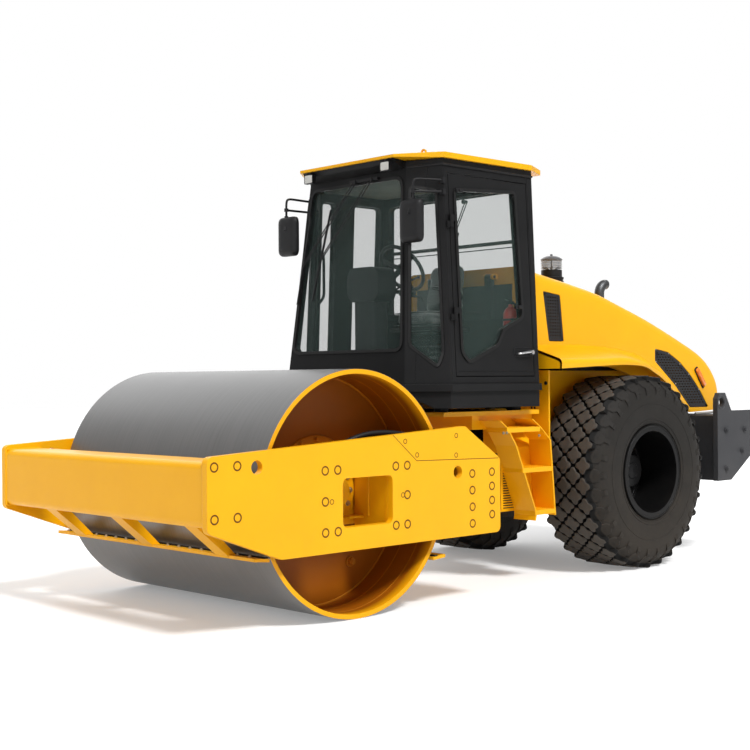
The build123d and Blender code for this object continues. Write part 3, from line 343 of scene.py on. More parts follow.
def coatedFinish(name, **own):  # paint, moulded plastic and rubber share this recipe
    look = {**plainLook, **own}
    material, tree, shader = startMaterial(name, look["colour"], look["roughness"], Coat_Weight=look["coat"],
                                           Coat_Roughness=0.06, Specular_IOR_Level=look["shine"])
    wear = useGroup(tree, surfaceGroup, Grime_Height=look["grimeHeight"], Grime_Amount=look["grime"],
                    Grain_Scale=look["grain"], Patch_Scale=look["patch"])
    base = mixColour(tree, ramp(tree, wear["Patch"], 0.3, 0.75), look["colour"], look["second"])
    rough = sumUp(tree, look["roughness"], (wear["Grime"], 0.4), (wear["Patch"], 0.08))
    feed(tree, shader, {"Base Color": mixColour(tree, wear["Grime"], base, look["dust"]), "Roughness": rough})
    bumpFrom(tree, shader, wear["Grain"], look["bump"], look["depth"], look["edge"])
    return material


finishes = {
    "yellowPaint": dict(colour=(0.9, 0.44, 0.002), second=(0.86, 0.405, 0.002), roughness=0.36, coat=0.03,
        grime=0.16, grimeHeight=0.5, dust=(0.4, 0.24, 0.06), bump=0.04, edge=0.006),
    # a darker copy of the yellow paint, as painted shade inside the drum
    "drumInside": dict(colour=(0.5, 0.17, 0.002), second=(0.4, 0.12, 0.002), roughness=0.45,
        grime=0.3, grimeHeight=0.6, dust=(0.26, 0.14, 0.03)),
    # dark joint line, and painted shade round the plate bolts
    "darkJoint": dict(colour=(0.15, 0.055, 0.002), second=(0.1, 0.036, 0.002), roughness=0.6, bump=0.05),
    "charcoalPaint": dict(colour=(0.0075, 0.0075, 0.008), second=(0.012, 0.012, 0.0125), roughness=0.48,
        shine=0.16, grime=0.08, grimeHeight=1.0, dust=(0.03, 0.027, 0.024), edge=0.006),
    "frameBlack": dict(colour=(0.012, 0.012, 0.013), second=(0.018, 0.017, 0.016), roughness=0.5,
        grime=0.4, grimeHeight=0.8, dust=(0.06, 0.05, 0.04), bump=0.14, edge=0.004),
    "grilleBlack": dict(colour=(0.016, 0.016, 0.017), second=(0.024, 0.024, 0.025), roughness=0.42, coat=0.05,
        grime=0.1, grimeHeight=1.2, dust=(0.05, 0.045, 0.04), bump=0.06),
    # painted shade behind the grille holes, its orange patches painted glints
    "baffleDark": dict(colour=(0.0015, 0.0012, 0.001), second=(0.09, 0.034, 0.006), roughness=0.8, patch=9.0,
        shine=0.1, grime=0.2, grimeHeight=1.6, dust=(0.1, 0.05, 0.02), bump=0.2, grain=120.0),
    "weightGrey": dict(colour=(0.04, 0.041, 0.045), second=(0.055, 0.055, 0.058), roughness=0.5, grime=0.3,
        grimeHeight=0.8, dust=(0.12, 0.1, 0.09), grain=140.0, bump=0.3, depth=0.002, edge=0.008),
    "softRubber": dict(colour=(0.01, 0.01, 0.01), second=(0.017, 0.017, 0.017), roughness=0.6, grime=0.2,
        bump=0.2, grain=420.0),
    "hoseRubber": dict(colour=(0.009, 0.009, 0.01), second=(0.014, 0.014, 0.015), roughness=0.42, coat=0.12,
        grime=0.15, bump=0.25, grain=500.0),
    "gasketRubber": dict(colour=(0.006, 0.006, 0.006), second=(0.01, 0.01, 0.01), roughness=0.35, coat=0.15,
        grime=0.05, bump=0.1, grain=500.0),
    "sealGrey": dict(colour=(0.42, 0.4, 0.36), second=(0.34, 0.32, 0.29), roughness=0.55, grime=0.3, bump=0.1),
    "rimBlack": dict(colour=(0.004, 0.004, 0.0045), second=(0.008, 0.0075, 0.007), roughness=0.3, shine=0.14,
        grime=0.1, grimeHeight=0.8, dust=(0.02, 0.016, 0.012), edge=0.004),
    "mouldedPlastic": dict(colour=(0.009, 0.009, 0.01), second=(0.014, 0.014, 0.015), roughness=0.45,
        grime=0.08, grain=700.0, bump=0.3, depth=0.0004),
    "armPaint": dict(colour=(0.008, 0.008, 0.009), second=(0.013, 0.013, 0.014), roughness=0.45,
        grime=0.05, grain=500.0, bump=0.1),
    "capGrey": dict(colour=(0.1, 0.1, 0.105), second=(0.14, 0.14, 0.145), roughness=0.38, coat=0.2,
        grime=0.1, grimeHeight=2.8, grain=500.0, bump=0.15),
    "dialFace": dict(colour=(0.55, 0.56, 0.56), second=(0.42, 0.43, 0.43), roughness=0.3, coat=0.4, patch=20.0,
        grime=0.0, bump=0.02),
    "redPaint": dict(colour=(0.48, 0.02, 0.012), second=(0.4, 0.014, 0.01), roughness=0.28, coat=0.4,
        grime=0.05, bump=0.03),
    "liningCloth": dict(colour=(0.16, 0.19, 0.165), second=(0.12, 0.145, 0.13), roughness=0.9, patch=5.0,
        grime=0.1, grimeHeight=3.0, grain=260.0, bump=0.5, depth=0.001),
    "engineCast": dict(colour=(0.1, 0.1, 0.1), second=(0.06, 0.06, 0.06), roughness=0.62, grime=0.4,
        grimeHeight=2.0, dust=(0.05, 0.04, 0.03), grain=90.0, bump=0.5, depth=0.003),
}
finish = {name: coatedFinish(name, **look) for name, look in finishes.items()}
print("finishes made:", len(finish))


# finishes with a build of their own
def reachFrom(tree, centre):  # distance from a sideways axle, for what changes with the radius
    centred = shaderNode(tree, "ShaderNodeMapping", {"Vector": objectPlace(tree), "Location": -centre})
    parts = shaderNode(tree, "ShaderNodeSeparateXYZ", {"Vector": centred.outputs[0]}).outputs
    flat = shaderNode(tree, "ShaderNodeCombineXYZ", {"X": parts["X"], "Z": parts["Z"]})
    reach = shaderNode(tree, "ShaderNodeVectorMath", {0: flat.outputs[0]}, operation="LENGTH")
    return reach.outputs["Value"], parts["Y"]


def tyreFinish():  # near-black in the grooves and on the lug flanks as painted shade, darker than the rubber; dusty brown on the worn tops, dark on the sidewall
    material, tree, shader = startMaterial("treadRubber", (0.02, 0.02, 0.02), 0.7, Specular_IOR_Level=0.22)
    wear = useGroup(tree, surfaceGroup, Grime_Height=1.05, Grime_Amount=0.6, Grain_Scale=180.0, Patch_Scale=7.0)
    reach = reachFrom(tree, axle)[0]
    side = mixColour(tree, wear["Patch"], (0.012, 0.0108, 0.0095), (0.022, 0.0195, 0.017))
    side = mixColour(tree, wear["Grime"], side, (0.04, 0.032, 0.024))
    # painted shade: groove floors and lug flanks are painted near-black
    deepShade = mixColour(tree, ramp(tree, reach, 0.695, 0.702), side, (0.0025, 0.0023, 0.002))
    top = mixColour(tree, wear["Patch"], (0.052, 0.045, 0.037), (0.09, 0.078, 0.066))
    feed(tree, shader, {"Base Color": mixColour(tree, ramp(tree, reach, 0.73, 0.734), deepShade, top)})
    bumpFrom(tree, shader, wear["Grain"], 0.4, 0.0015)
    return material


def drumFinish():  # rolled steel outside, yellow paint inside the shell, painted darker towards its depth as painted shade
    material, tree, shader = startMaterial("drumSteel", (0.2, 0.2, 0.2), 0.4, 0.8, Specular_IOR_Level=0.25)
    reach, across = reachFrom(tree, drum)
    outside = mathNode(tree, "GREATER_THAN", reach, drumZ - 0.0015)
    marks = useGroup(tree, scratchGroup, Along=1.2, Across=70.0)["Marks"]
    wear = useGroup(tree, surfaceGroup, Grime_Height=0.4, Grime_Amount=0.25, Patch_Scale=2.2)
    steel = mixColour(tree, marks, (0.2, 0.2, 0.2), (0.25, 0.25, 0.25))
    steel = mixColour(tree, wear["Grime"], steel, (0.1, 0.09, 0.08))
    paintAtOpening = mixColour(tree, wear["Patch"], (0.9, 0.43, 0.002), (0.8, 0.36, 0.002))
    # painted shade: the paint deep inside the shell is painted darker
    deepShade = mixColour(tree, wear["Patch"], (0.34, 0.1, 0.001), (0.26, 0.068, 0.001))
    paint = mixColour(tree, ramp(tree, mathNode(tree, "ABSOLUTE", across), 1.063, 0.98), paintAtOpening, deepShade)
    feed(tree, shader, {"Base Color": mixColour(tree, outside, paint, steel),
                        "Metallic": mathNode(tree, "MULTIPLY", outside, 0.8),
                        "Roughness": sumUp(tree, 0.42, (marks, 0.1))})
    bumpFrom(tree, shader, marks, 0.05, 0.0006, 0.006)
    return material


def brightFinish(name, colour, roughness, across):
    material, tree, shader = startMaterial(name, colour, roughness, 1.0)
    marks = useGroup(tree, scratchGroup, Along=across * 0.1, Across=across)["Marks"]
    feed(tree, shader, {"Base Color": mixColour(tree, marks, colour, tuple(c * 0.72 for c in colour)),
                        "Roughness": sumUp(tree, roughness, (marks, 0.15))})
    bumpFrom(tree, shader, marks, 0.05, 0.0004)
    return material


def glassFinish(name, colour, cover):  # thin tinted panes that let most of the light straight through
    material, tree, shader = startMaterial(name, colour, 0.03, Alpha=cover)
    patch = useGroup(tree, surfaceGroup, Patch_Scale=2.0)["Patch"]
    feed(tree, shader, {"Base Color": mixColour(tree, patch, colour, tuple(c * 0.8 for c in colour))})
    return material


def waves(tree, place, scale, axis, distortion=None):
    inputs = {"Vector": place, "Scale": scale, "Distortion": distortion}
    node = shaderNode(tree, "ShaderNodeTexWave", inputs, wave_type="BANDS", bands_direction=axis)
    return node.outputs["Fac"]


def clothFinish(name, colour):
    material, tree, shader = startMaterial(name, colour, 0.85, Sheen_Weight=0.4)
    place = objectPlace(tree)
    cross = mathNode(tree, "MULTIPLY", *(waves(tree, place, 90.0, axis, 0.6) for axis in "XZ"))
    dark = mixColour(tree, noise(tree, place, 9.0, 4.0), colour, tuple(c * 1.7 for c in colour))
    feed(tree, shader, {"Base Color": mixColour(tree, cross, dark, tuple(c * 2.4 for c in colour))})
    bumpFrom(tree, shader, cross, 0.5, 0.001)
    return material


def lensFinish(name, colour):
    material, tree, shader = startMaterial(name, colour, 0.12, Coat_Weight=0.6)
    flutes = waves(tree, objectPlace(tree), 36.0, "Y")
    feed(tree, shader, {"Base Color": mixColour(tree, flutes, colour, tuple(min(1, c * 1.35) for c in colour))})
    bumpFrom(tree, shader, flutes, 0.3, 0.002)
    return material


finish["drumSteel"], finish["treadRubber"] = drumFinish(), tyreFinish()
for recipe, name, *look in (
        (brightFinish, "boltZinc", (0.55, 0.5, 0.38), 0.35, 260.0),
        (brightFinish, "handleChrome", (0.78, 0.78, 0.79), 0.18, 120.0),
        (brightFinish, "rodChrome", (0.75, 0.75, 0.77), 0.1, 120.0),
        (brightFinish, "exhaustSteel", (0.115, 0.118, 0.122), 0.42, 80.0),
        (brightFinish, "mirrorGlass", (0.62, 0.64, 0.66), 0.06, 6.0),
        (glassFinish, "cabGlass", (0.1, 0.15, 0.135), 0.15),
        (glassFinish, "intakeBowl", (0.3, 0.31, 0.32), 0.25),
        (clothFinish, "seatCloth", (0.075, 0.088, 0.083)),
        (lensFinish, "amberLens", (0.8, 0.19, 0.006)),
        (lensFinish, "clearLens", (0.5, 0.49, 0.46))):
    finish[name] = recipe(name, *look)

# which finish each carried-over part gets
nodeFinish = {
    "yellowPaint": "side_plate_left side_plate_right front_beam rear_beam drum_mounts drum_scrapers cab_platform "
                   "cab_roof hood mudguards arch_panels side_tanks steps drum_journals",
    "drumSteel": "drum", "treadRubber": "tyre_left tyre_right", "rimBlack": "rim_left rim_right",
    "frameBlack": "rear_chassis rear_hitch chassis_rails rear_axle hood_brackets seat_base "
                  "steering_barrel_left steering_barrel_right hood_grilles",
    "charcoalPaint": "cab_base cab_front cab_rear cab_side_left cab_side_right door roof_frame",
    "rodChrome": "steering_rod_left steering_rod_right", "weightGrey": "counterweight",
    "softRubber": "cab_mounts", "engineCast": "engine", "exhaustSteel": "exhaust_stub",
    "mouldedPlastic": "console steering_wheel mirrors work_lights precleaner",
    "cabGlass": "cab_glass door_glass", "seatCloth": "seat",
}
for look, members in nodeFinish.items():
    for name in members.split():
        nodes[name].data.materials.clear()
        nodes[name].data.materials.append(finish[look])
print("carried-over parts finished:", sum(len(m.split()) for m in nodeFinish.values()), "of", len(nodes))


# repeated shapes, made by node trees with named inputs
def geoTree(name, inputs):
    tree = bpy.data.node_groups.new(name, "GeometryNodeTree")
    for label, kind in {"Geometry": "Geometry", **inputs, "Finish": "Material"}.items():
        tree.interface.new_socket(label, in_out="INPUT", socket_type="NodeSocket" + kind)
    tree.interface.new_socket("Geometry", in_out="OUTPUT", socket_type="NodeSocketGeometry")
    return tree, tree.nodes.new("NodeGroupInput").outputs, tree.nodes.new("NodeGroupOutput")


def endTree(tree, entry, leave, instances):  # real geometry with its finish, so the export keeps it
    real = shaderNode(tree, "GeometryNodeRealizeInstances", {"Geometry": instances})
    inputs = {"Geometry": real.outputs[0], "Material": entry["Finish"]}
    feed(tree, leave, {"Geometry": shaderNode(tree, "GeometryNodeSetMaterial", inputs).outputs[0]})


def buildRingTree():  # turns one unit round a wheel's axle, a given number of times
    tree, entry, leave = geoTree("turnRoundAxle", {"Count": "Int", "Axle": "Vector"})
    line = shaderNode(tree, "GeometryNodeMeshLine", {"Count": entry["Count"], "Start Location": entry["Axle"],
                                                     "Offset": (0, 0, 0)})
    share = mathNode(tree, "DIVIDE", tree.nodes.new("GeometryNodeInputIndex").outputs[0], entry["Count"])
    turn = shaderNode(tree, "ShaderNodeCombineXYZ", {"Y": mathNode(tree, "MULTIPLY", share, 2 * pi)})
    placed = shaderNode(tree, "GeometryNodeInstanceOnPoints", {
        "Points": line.outputs[0], "Instance": entry["Geometry"], "Rotation": turn.outputs[0]})
    endTree(tree, entry, leave, placed.outputs[0])
    return tree


def buildPointTree():  # sets one unit on every point of a mesh, turned to the point's facing and sized
    tree, entry, leave = geoTree("unitOnPoints", {"Unit": "Object"})
    unit = shaderNode(tree, "GeometryNodeObjectInfo", {"Object": entry["Unit"]})
    facing, size = (shaderNode(tree, "GeometryNodeInputNamedAttribute", {"Name": label}, data_type="FLOAT_VECTOR")
                    for label in ("facing", "size"))
    turn = shaderNode(tree, "FunctionNodeAlignRotationToVector", {"Vector": facing.outputs[0]}, axis="Z")
    placed = shaderNode(tree, "GeometryNodeInstanceOnPoints", {
        "Points": entry["Geometry"], "Instance": unit.outputs["Geometry"], "Rotation": turn.outputs[0],
        "Scale": size.outputs[0]})
    endTree(tree, entry, leave, placed.outputs[0])
    return tree


ringTree, pointTree = buildRingTree(), buildPointTree()
units = []


def keepResult(piece):  # what the modifiers make becomes the piece's plain mesh
    bpy.context.view_layer.update()
    evaluated = piece.evaluated_get(bpy.context.evaluated_depsgraph_get())
    mesh = bpy.data.meshes.new_from_object(evaluated)
    mesh.name = piece.name
    piece.modifiers.clear()
    piece.data = mesh
    return piece


def growMesh(piece, tree, values):  # runs a tree on a piece
    modifier = piece.modifiers.new(tree.name, "NODES")
    modifier.node_group = tree
    for item in tree.interface.items_tree:
        if item.in_out == "INPUT" and item.name in values:
            modifier[item.identifier] = values[item.name]
    return keepResult(piece)


def repeatOnPoints(name, unit, places, look):  # places hold (point, facing, size)
    mesh = bpy.data.meshes.new(name)
    mesh.from_pydata([place[0] for place in places], [], [])
    for label, index in (("facing", 1), ("size", 2)):
        layer = mesh.attributes.new(label, "FLOAT_VECTOR", "POINT")
        for item, place in zip(layer.data, places):
            value = place[index]
            item.vector = (value,) * 3 if isinstance(value, (int, float)) else value
    return growMesh(linkObject(name, mesh), pointTree, {"Unit": unit, "Finish": finish[look]})


def rodUnit(name, rods):  # a shape that is only repeated, 1 m across and facing up Z, taken away at the end
    bm = bmesh.new()
    for low, high, radius, topRadius, sides in rods:
        addRod(bm, (0, 0, low), (0, 0, high), radius, topRadius, sides)
    units.append(linkMesh(name, bm))
    return units[-1]


boltUnit = rodUnit("boltUnit", ((-0.05, 0.12, 0.5, 0.5, 20), (0.1, 0.42, 0.41, 0.37, 6),
                                (0.4, 0.52, 0.22, 0.19, 12)))
screwUnit = rodUnit("screwUnit", ((-0.05, 0.14, 0.5, 0.46, 14), (0.12, 0.26, 0.44, 0.24, 14)))


def boltPiece(name, places, look="boltZinc", body="rear_frame", unit=boltUnit):
    makePiece(name, repeatOnPoints(name, unit, places, look), look, body, smooth=30.0)


# diamond-tread tyres, with a lug of four points in staggered rows and deep shoulder lugs
tyreLook = dict(pitches=30, innerY=0.503, outerY=1.09, grooveRadius=0.706, treadRadius=0.739,
    profile=((0.03, 0.331), (0.03, 0.362), (0.01, 0.392), (0.006, 0.42), (0.003, 0.5),
        (0.006, 0.56), (0.012, 0.612), (0.028, 0.655), (0.052, 0.684), (0.09, 0.698)),
    crown=((0.2, 0.704), (0.2935, 0.706)),
    rows=((0.118, 0.0), (0.205, 0.5), (0.2935, 0.0), (0.382, 0.5), (0.469, 0.0)),
    lugAlong=0.068, lugAcross=0.07, pinch=0.38, lugCorners=24, lugReach=0.735,
    shoulder=((0.098, -0.033), (0.062, -0.058), (0.03, -0.046), (0.022, -0.02), (0.01, -0.026),
        (0.01, 0.022), (0.022, 0.016), (0.03, 0.046), (0.062, 0.056), (0.098, 0.03),
        (0.112, 0.0)), shoulderMiddle=0.06, shoulderReach=0.7,
    shoulderRise=((-0.012, 1.04), (0.01, 1.0), (0.016, 0.9)),
    ribs=((0.52, 0.0045, 0.0035), (0.402, 0.0085, 0.004), (0.378, 0.0165, 0.003)))
tyreWidth = tyreLook["outerY"] - tyreLook["innerY"]


def crownRadius(share):  # how far out the tread stands, from one shoulder to the other
    edge = abs(share - 0.5) * 2
    return tyreLook["treadRadius"] - 0.009 * edge ** 2 - 0.022 * max(0.0, edge - 0.62) ** 2 / 0.14


def starPoint(angle, grow):  # a square on its corner, its sides pulled inwards
    reach = 1 - tyreLook["pinch"] * (0.5 - 0.5 * cos(4 * angle)) - 0.05 * max(0.0, cos(4 * angle)) ** 6
    return (tyreLook["lugAlong"] * grow * reach * cos(angle),
            tyreLook["lugAcross"] * grow * reach * sin(angle))


def sidewallRadius(y):  # the carcass's radius at a distance in from its side
    points = tyreLook["profile"][4:]
    for (y0, r0), (y1, r1) in zip(points, points[1:]):
        if y <= y1:
            return r0 + (r1 - r0) * max(0.0, (y - y0)) / (y1 - y0)
    return points[-1][1] + 0.008


def treadUnit(side):  # one pitch of the tread, still round the world's middle
    look, bm, middle = tyreLook, bmesh.new(), Vector()
    pitch = 2 * pi / look["pitches"]

    def place(angle, y, radius):
        return Vector(roundPoint(middle, radius, side * (look["innerY"] + y), angle))

    for y, shift in look["rows"]:
        top = crownRadius(y / tyreWidth)
        levels = ((look["grooveRadius"] - 0.012, 1.16), (top - 0.012, 1.06), (top - 0.003, 1.0), (top, 0.92))
        addRings(bm, [[place(pitch * shift + along / look["lugReach"], y + across, radius)
                       for along, across in (starPoint(a, grow) for a in turns(look["lugCorners"]))]
                      for radius, grow in levels])
    for atEnd in (False, True):  # shoulder lugs that run down the sidewall in a zig-zag
        rings = []
        for rise, shrink in look["shoulderRise"]:
            ring = []
            for y, along in look["shoulder"]:
                y = look["shoulderMiddle"] + (y - look["shoulderMiddle"]) * shrink
                lift = rise * (0.45 + 0.55 * min(1.0, max(0.0, (y - 0.01) / 0.06)))
                slope = min(1.0, max(0.0, (0.075 - y) / 0.06))
                outY = y - lift * slope
                ring.append(place(pitch * 0.5 + along * shrink / look["shoulderReach"],
                                  tyreWidth - outY if atEnd else outY,
                                  sidewallRadius(y) + lift * (1 - 0.55 * slope)))
            rings.append(ring)
        addRings(bm, rings)
    return bm


def buildTyre(label, side):
    look, bm = tyreLook, bmesh.new()
    half = look["profile"] + look["crown"]
    profile = list(half) + [(tyreWidth - y, r) for y, r in reversed(half[:-1])]
    addLathe(bm, axle, [(side * (look["innerY"] + y), r) for y, r in profile], sides=120)
    for radius, ribY, size in look["ribs"]:
        for across in (ribY, tyreWidth - ribY):  # moulded rings on the sidewall
            addHoop(bm, axle, side * (look["innerY"] + across), radius, size, 96, size * 1.3)
    carcass = linkMesh("tyreBody" + label, bm)
    tread = growMesh(linkMesh("tyreTread" + label, treadUnit(side)), ringTree, {
        "Count": look["pitches"], "Axle": tuple(axle), "Finish": finish["treadRubber"]})
    for piece in (carcass, tread):
        makePiece(piece.name, piece, "treadRubber", "wheel_" + label.lower(), stands=("tyre_" + label.lower(),))


# lock ring, bolts and valve in each rim
rimLook = dict(rings=((1.074, 0.352, 0.007, 96, 10), (1.066, 0.334, 0.006, 96, 10), (1.052, 0.322, 0.005, 96, 10),
        (0.738, 0.285, 0.006, 72, 8), (0.89, 0.06, 0.005, 72, 8)),
    bolts=((10, 0.112, 0.871, 0.03), (12, 0.205, 0.74, 0.036)),
    valve=((0.3, 0.735), (0.3, 0.8), (0.312, 0.845)), valveTurn=2.1)


def buildRim(label, side):
    look, bm, places = rimLook, bmesh.new(), []
    for middle, radius, size, sides, corners in look["rings"]:
        addHoop(bm, axle, side * middle, radius, size, sides, corners=corners)
    addPipe(bm, [roundPoint(axle, reach, side * y, look["valveTurn"]) for reach, y in look["valve"]], 0.006,
            rounding=0.02)
    makePiece("rimRings" + label, bm, "rimBlack", "wheel_" + label.lower())
    for count, radius, y, size in look["bolts"]:
        places += [(roundPoint(axle, radius, side * y, a), (0, side, 0), size) for a in turns(count, 0.5)]
    boltPiece("rimBolts" + label, places, "rimBlack", "wheel_" + label.lower())


for label, side in bothSides:
    buildTyre(label, side)
    buildRim(label, side)
print("tyres and rims made")

# bolts, cover plate and studs of the front frame, on both side plates
plateLook = dict(face=1.155, bolt=0.052, small=0.026, seam=[(1.562, 1.118), (1.355, 0.95), (0.59, 0.934)],
    drumRows=((0.339, 0.183), (0.24, 0.183), (0.339, 0.0)), drumLevel=0.7405,
    frontBolts=((2.925, 0.983), (2.766, 0.983), (2.925, 0.695), (2.766, 0.695)),
    rearColumns=((0.844, 0.841, 0.1086), (0.653, 0.843, 0.0937)),
    smallSpots=((1.456, 1.073), (0.994, 1.094), (1.352, 0.984), (0.996, 0.968), (2.067, 0.737),
        (1.479, 0.741)),
    welds=((2.719, 2.966, 0.642, 1.012), (0.599, 0.894, 0.45, 0.92)), weldY=1.108)


def buildPlateBolts(label, side):
    look = plateLook
    face, out = look["face"], (0, side, 0)
    big = [(drumX + across, look["drumLevel"] + up) for x, z in look["drumRows"] for across in (-x, x)
           for up in {-z, z}]
    big += look["frontBolts"]
    big += [(x, z - step * index) for x, z, step in look["rearColumns"] for index in range(4)]
    small = look["smallSpots"]
    places = [((x, side * (face - 0.0125), z), out, (size, size, 0.025))
              for spots, size in ((big, look["bolt"] * 0.86), (small, look["small"])) for x, z in spots]
    boltPiece("plateBolts" + label, places, "yellowPaint", "front_frame")
    bm = bmesh.new()  # painted shade ring round each washer, and the cover plate's dark joint
    for spots, size, thick in ((big, look["bolt"] * 0.47, 0.0055), (small, look["small"] * 0.54, 0.003)):
        for x, z in spots:
            addHoop(bm, (x, 0, z), side * (face - 0.0005), size, 0.0016, 28, thick, 6)
    addStrip(bm, [(x, side * (face - 0.0002), z) for x, z in look["seam"]], 0.0045, 0.0006, out, closed=False)
    makePiece("plateJoint" + label, bm, "darkJoint", "front_frame")
    bm, y = bmesh.new(), side * look["weldY"]  # weld beads where the beams meet the plate
    for x0, x1, z0, z1 in look["welds"]:
        corners = [(x0, y, z0), (x1, y, z0), (x1, y, z1), (x0, y, z1)]
        for start, end in zip(corners, corners[1:] + corners[:1]):
            addPipe(bm, [start, end], 0.007, sides=8)
    makePiece("plateWeld" + label, bm, "yellowPaint", "front_frame")


# rubber buffers, bearing cap and hoses beside the drum; a box is (x, y, z), x and z from its axle
mountLook = dict(bufferX=0.2875, bufferZ=0.165, bufferY=(0.8, 1.02), collarY=(0.795, 1.022), bore=0.03,
    capBolts=12, capCircle=0.165, cap=((0.8, 0.1), (0.815, 0.1), (0.815, 0.196), (0.8, 0.202)),
    boxes=(((-0.2255, -0.2135), (0.8, 1.109), (-0.24, 0.175)),
        ((-0.214, -0.09), (0.8, 0.89), (-0.172, -0.158)),
        ((-0.214, -0.205), (0.925, 0.94), (-0.16, 0.175))),
    hose=((1.7, 1.02, 1.128), (1.42, 1.05, 1.128), (1.18, 1.085, 1.06), (0.94, 1.085, 0.93)),
    hoses=((0.0, 0.0), (0.045, -0.012)))


def buildMounts(label, side):
    look, (low, high) = mountLook, mountLook["bufferY"]
    rubber, steel, hose, places, bore = bmesh.new(), bmesh.new(), bmesh.new(), [], look["bore"]
    for x, z in ((-1, -1), (-1, 1), (1, -1), (1, 1)):
        centre = drum + Vector((x * look["bufferX"], 0, z * look["bufferZ"]))
        bulge = [(side * (low + (high - low) * t), 0.05 + 0.022 * sin(pi * t))
                 for t in (step / 8 for step in range(9))]
        addLathe(rubber, centre, bulge + [(side * high, bore), (side * low, bore)], sides=28)
        for y in look["collarY"]:
            addLathe(steel, centre, [(side * y, bore), (side * (y + 0.012), bore), (side * (y + 0.012), 0.068),
                                     (side * y, 0.068)], sides=28)
        places.append(((centre.x, side * 0.776, centre.z), (0, -side, 0), 0.05))
    makePiece("bufferRubber" + label, rubber, "softRubber", "front_frame")
    addLathe(steel, drum, [(side * y, radius) for y, radius in look["cap"]], sides=56)
    for x, y, z in look["boxes"]:
        sideBox(steel, side, [drumX + v for v in x], y, [drumZ + v for v in z])
    makePiece("bearingPlate" + label, steel, "yellowPaint", "front_frame", edge=0.002)
    places += [(roundPoint(drum, look["capCircle"], side * 0.813, a), (0, side, 0), 0.036)
               for a in turns(look["capBolts"])]
    boltPiece("mountBolts" + label, places, body="front_frame")
    for shift, lift in look["hoses"]:  # over the plate's upper edge and back to the cross beam
        line = [(x, side * (y - shift), z + lift) for x, y, z in look["hose"]]
        addPipe(hose, [(drumX + 0.3, side * 0.93, drumZ + 0.2), (drumX + 0.16, side * 0.98, 1.02 + lift), *line,
                       (0.86, side * 1.02, 0.86)], 0.017, rounding=0.16, steps=7)
    makePiece("drumHoses" + label, hose, "hoseRubber", "front_frame")


for label, side in bothSides:
    buildPlateBolts(label, side)
    buildMounts(label, side)

# rings, ribs and inspection plugs on the drum's bulkheads, which turn with it
drumLook = dict(weld=(0.666, 0.73, 0.006, 0.007, 8), marks=(0.8, 0.94), mark=(0.7335, 0.006, 0.0018, 6),
    collar=((0.664, 0.3), (0.676, 0.3), (0.676, 0.345), (0.664, 0.35)),
    bolts=((4, 0.35, 0.56, 0.666, 0.07), (16, 0.0, 0.322, 0.677, 0.034)))


def buildDrumDetails():
    bm, places = bmesh.new(), []
    for side in (1, -1):
        y, radius, size, thick, corners = drumLook["weld"]
        addHoop(bm, drum, side * y, radius, size, 96, thick, corners)
        addLathe(bm, drum, [(side * y, radius) for y, radius in drumLook["collar"]], sides=72)
        radius, size, thick, corners = drumLook["mark"]
        for y in drumLook["marks"]:  # faint rolled ring marks inside the shell
            addHoop(bm, drum, side * y, radius, size, 96, thick, corners)
        for count, shift, radius, y, size in drumLook["bolts"]:
            places += [(roundPoint(drum, radius, side * y, a), (0, side, 0), size) for a in turns(count, shift)]
    # painted shade: these parts inside the drum take a darker copy of the yellow paint
    makePiece("drumWelds", bm, "drumInside", "drum_roll")
    boltPiece("drumPlugs", places, "drumInside", "drum_roll")


# bolts and wiping strips on the scrapers; a tip is (degrees below the axle, which way it lies)
scraperLook = dict(tips=((25, 1), (35, -1)), reach=0.778, half=1.085, spacing=0.118, brackets=(-0.781, 0.0, 0.781))


def buildScraperBolts():
    look, places, bm = scraperLook, [], bmesh.new()
    for degrees, ahead in look["tips"]:
        x = drumX + ahead * look["reach"] * cos(radians(degrees))
        z = drumZ - look["reach"] * sin(radians(degrees))
        for index in range(int(2 * look["half"] / look["spacing"])):
            y = -look["half"] + look["spacing"] * (index + 0.5)
            if min(abs(y - h) for h in look["brackets"]) > 0.075:
                places.append(((x + ahead * 0.062, y, z + 0.004), (0, 0, 1), 0.026))
        near, far = sorted((x + ahead * 0.012, x + ahead * 0.04))
        addBox(bm, (near, -look["half"], z + 0.002), (far, look["half"], z + 0.01))
    boltPiece("scraperBolts", places, body="front_frame")
    makePiece("scraperWipers", bm, "softRubber", "front_frame", edge=0.001)


buildDrumDetails()
buildScraperBolts()
print("front frame details made")

# teeth on the steps' treads, each tread (top, front, rear), and the platform's bolts
stepLook = dict(treads=((1.113, 0.17, -0.165), (0.822, 0.008, -0.298), (0.513, -0.126, -0.325)),
    teeth=9, toothSize=0.013, y0=0.69, y1=0.87, lip=0.8735,
    tooth=((1.0, -0.25), (0.92, 0.32), (0.6, 0.42)),
    sideBolts=((0.225, 1.08), (0.19, 1.08), (-0.16, 1.05)), frontBolts=(-0.42, -0.28, 0.28, 0.42, 0.56))


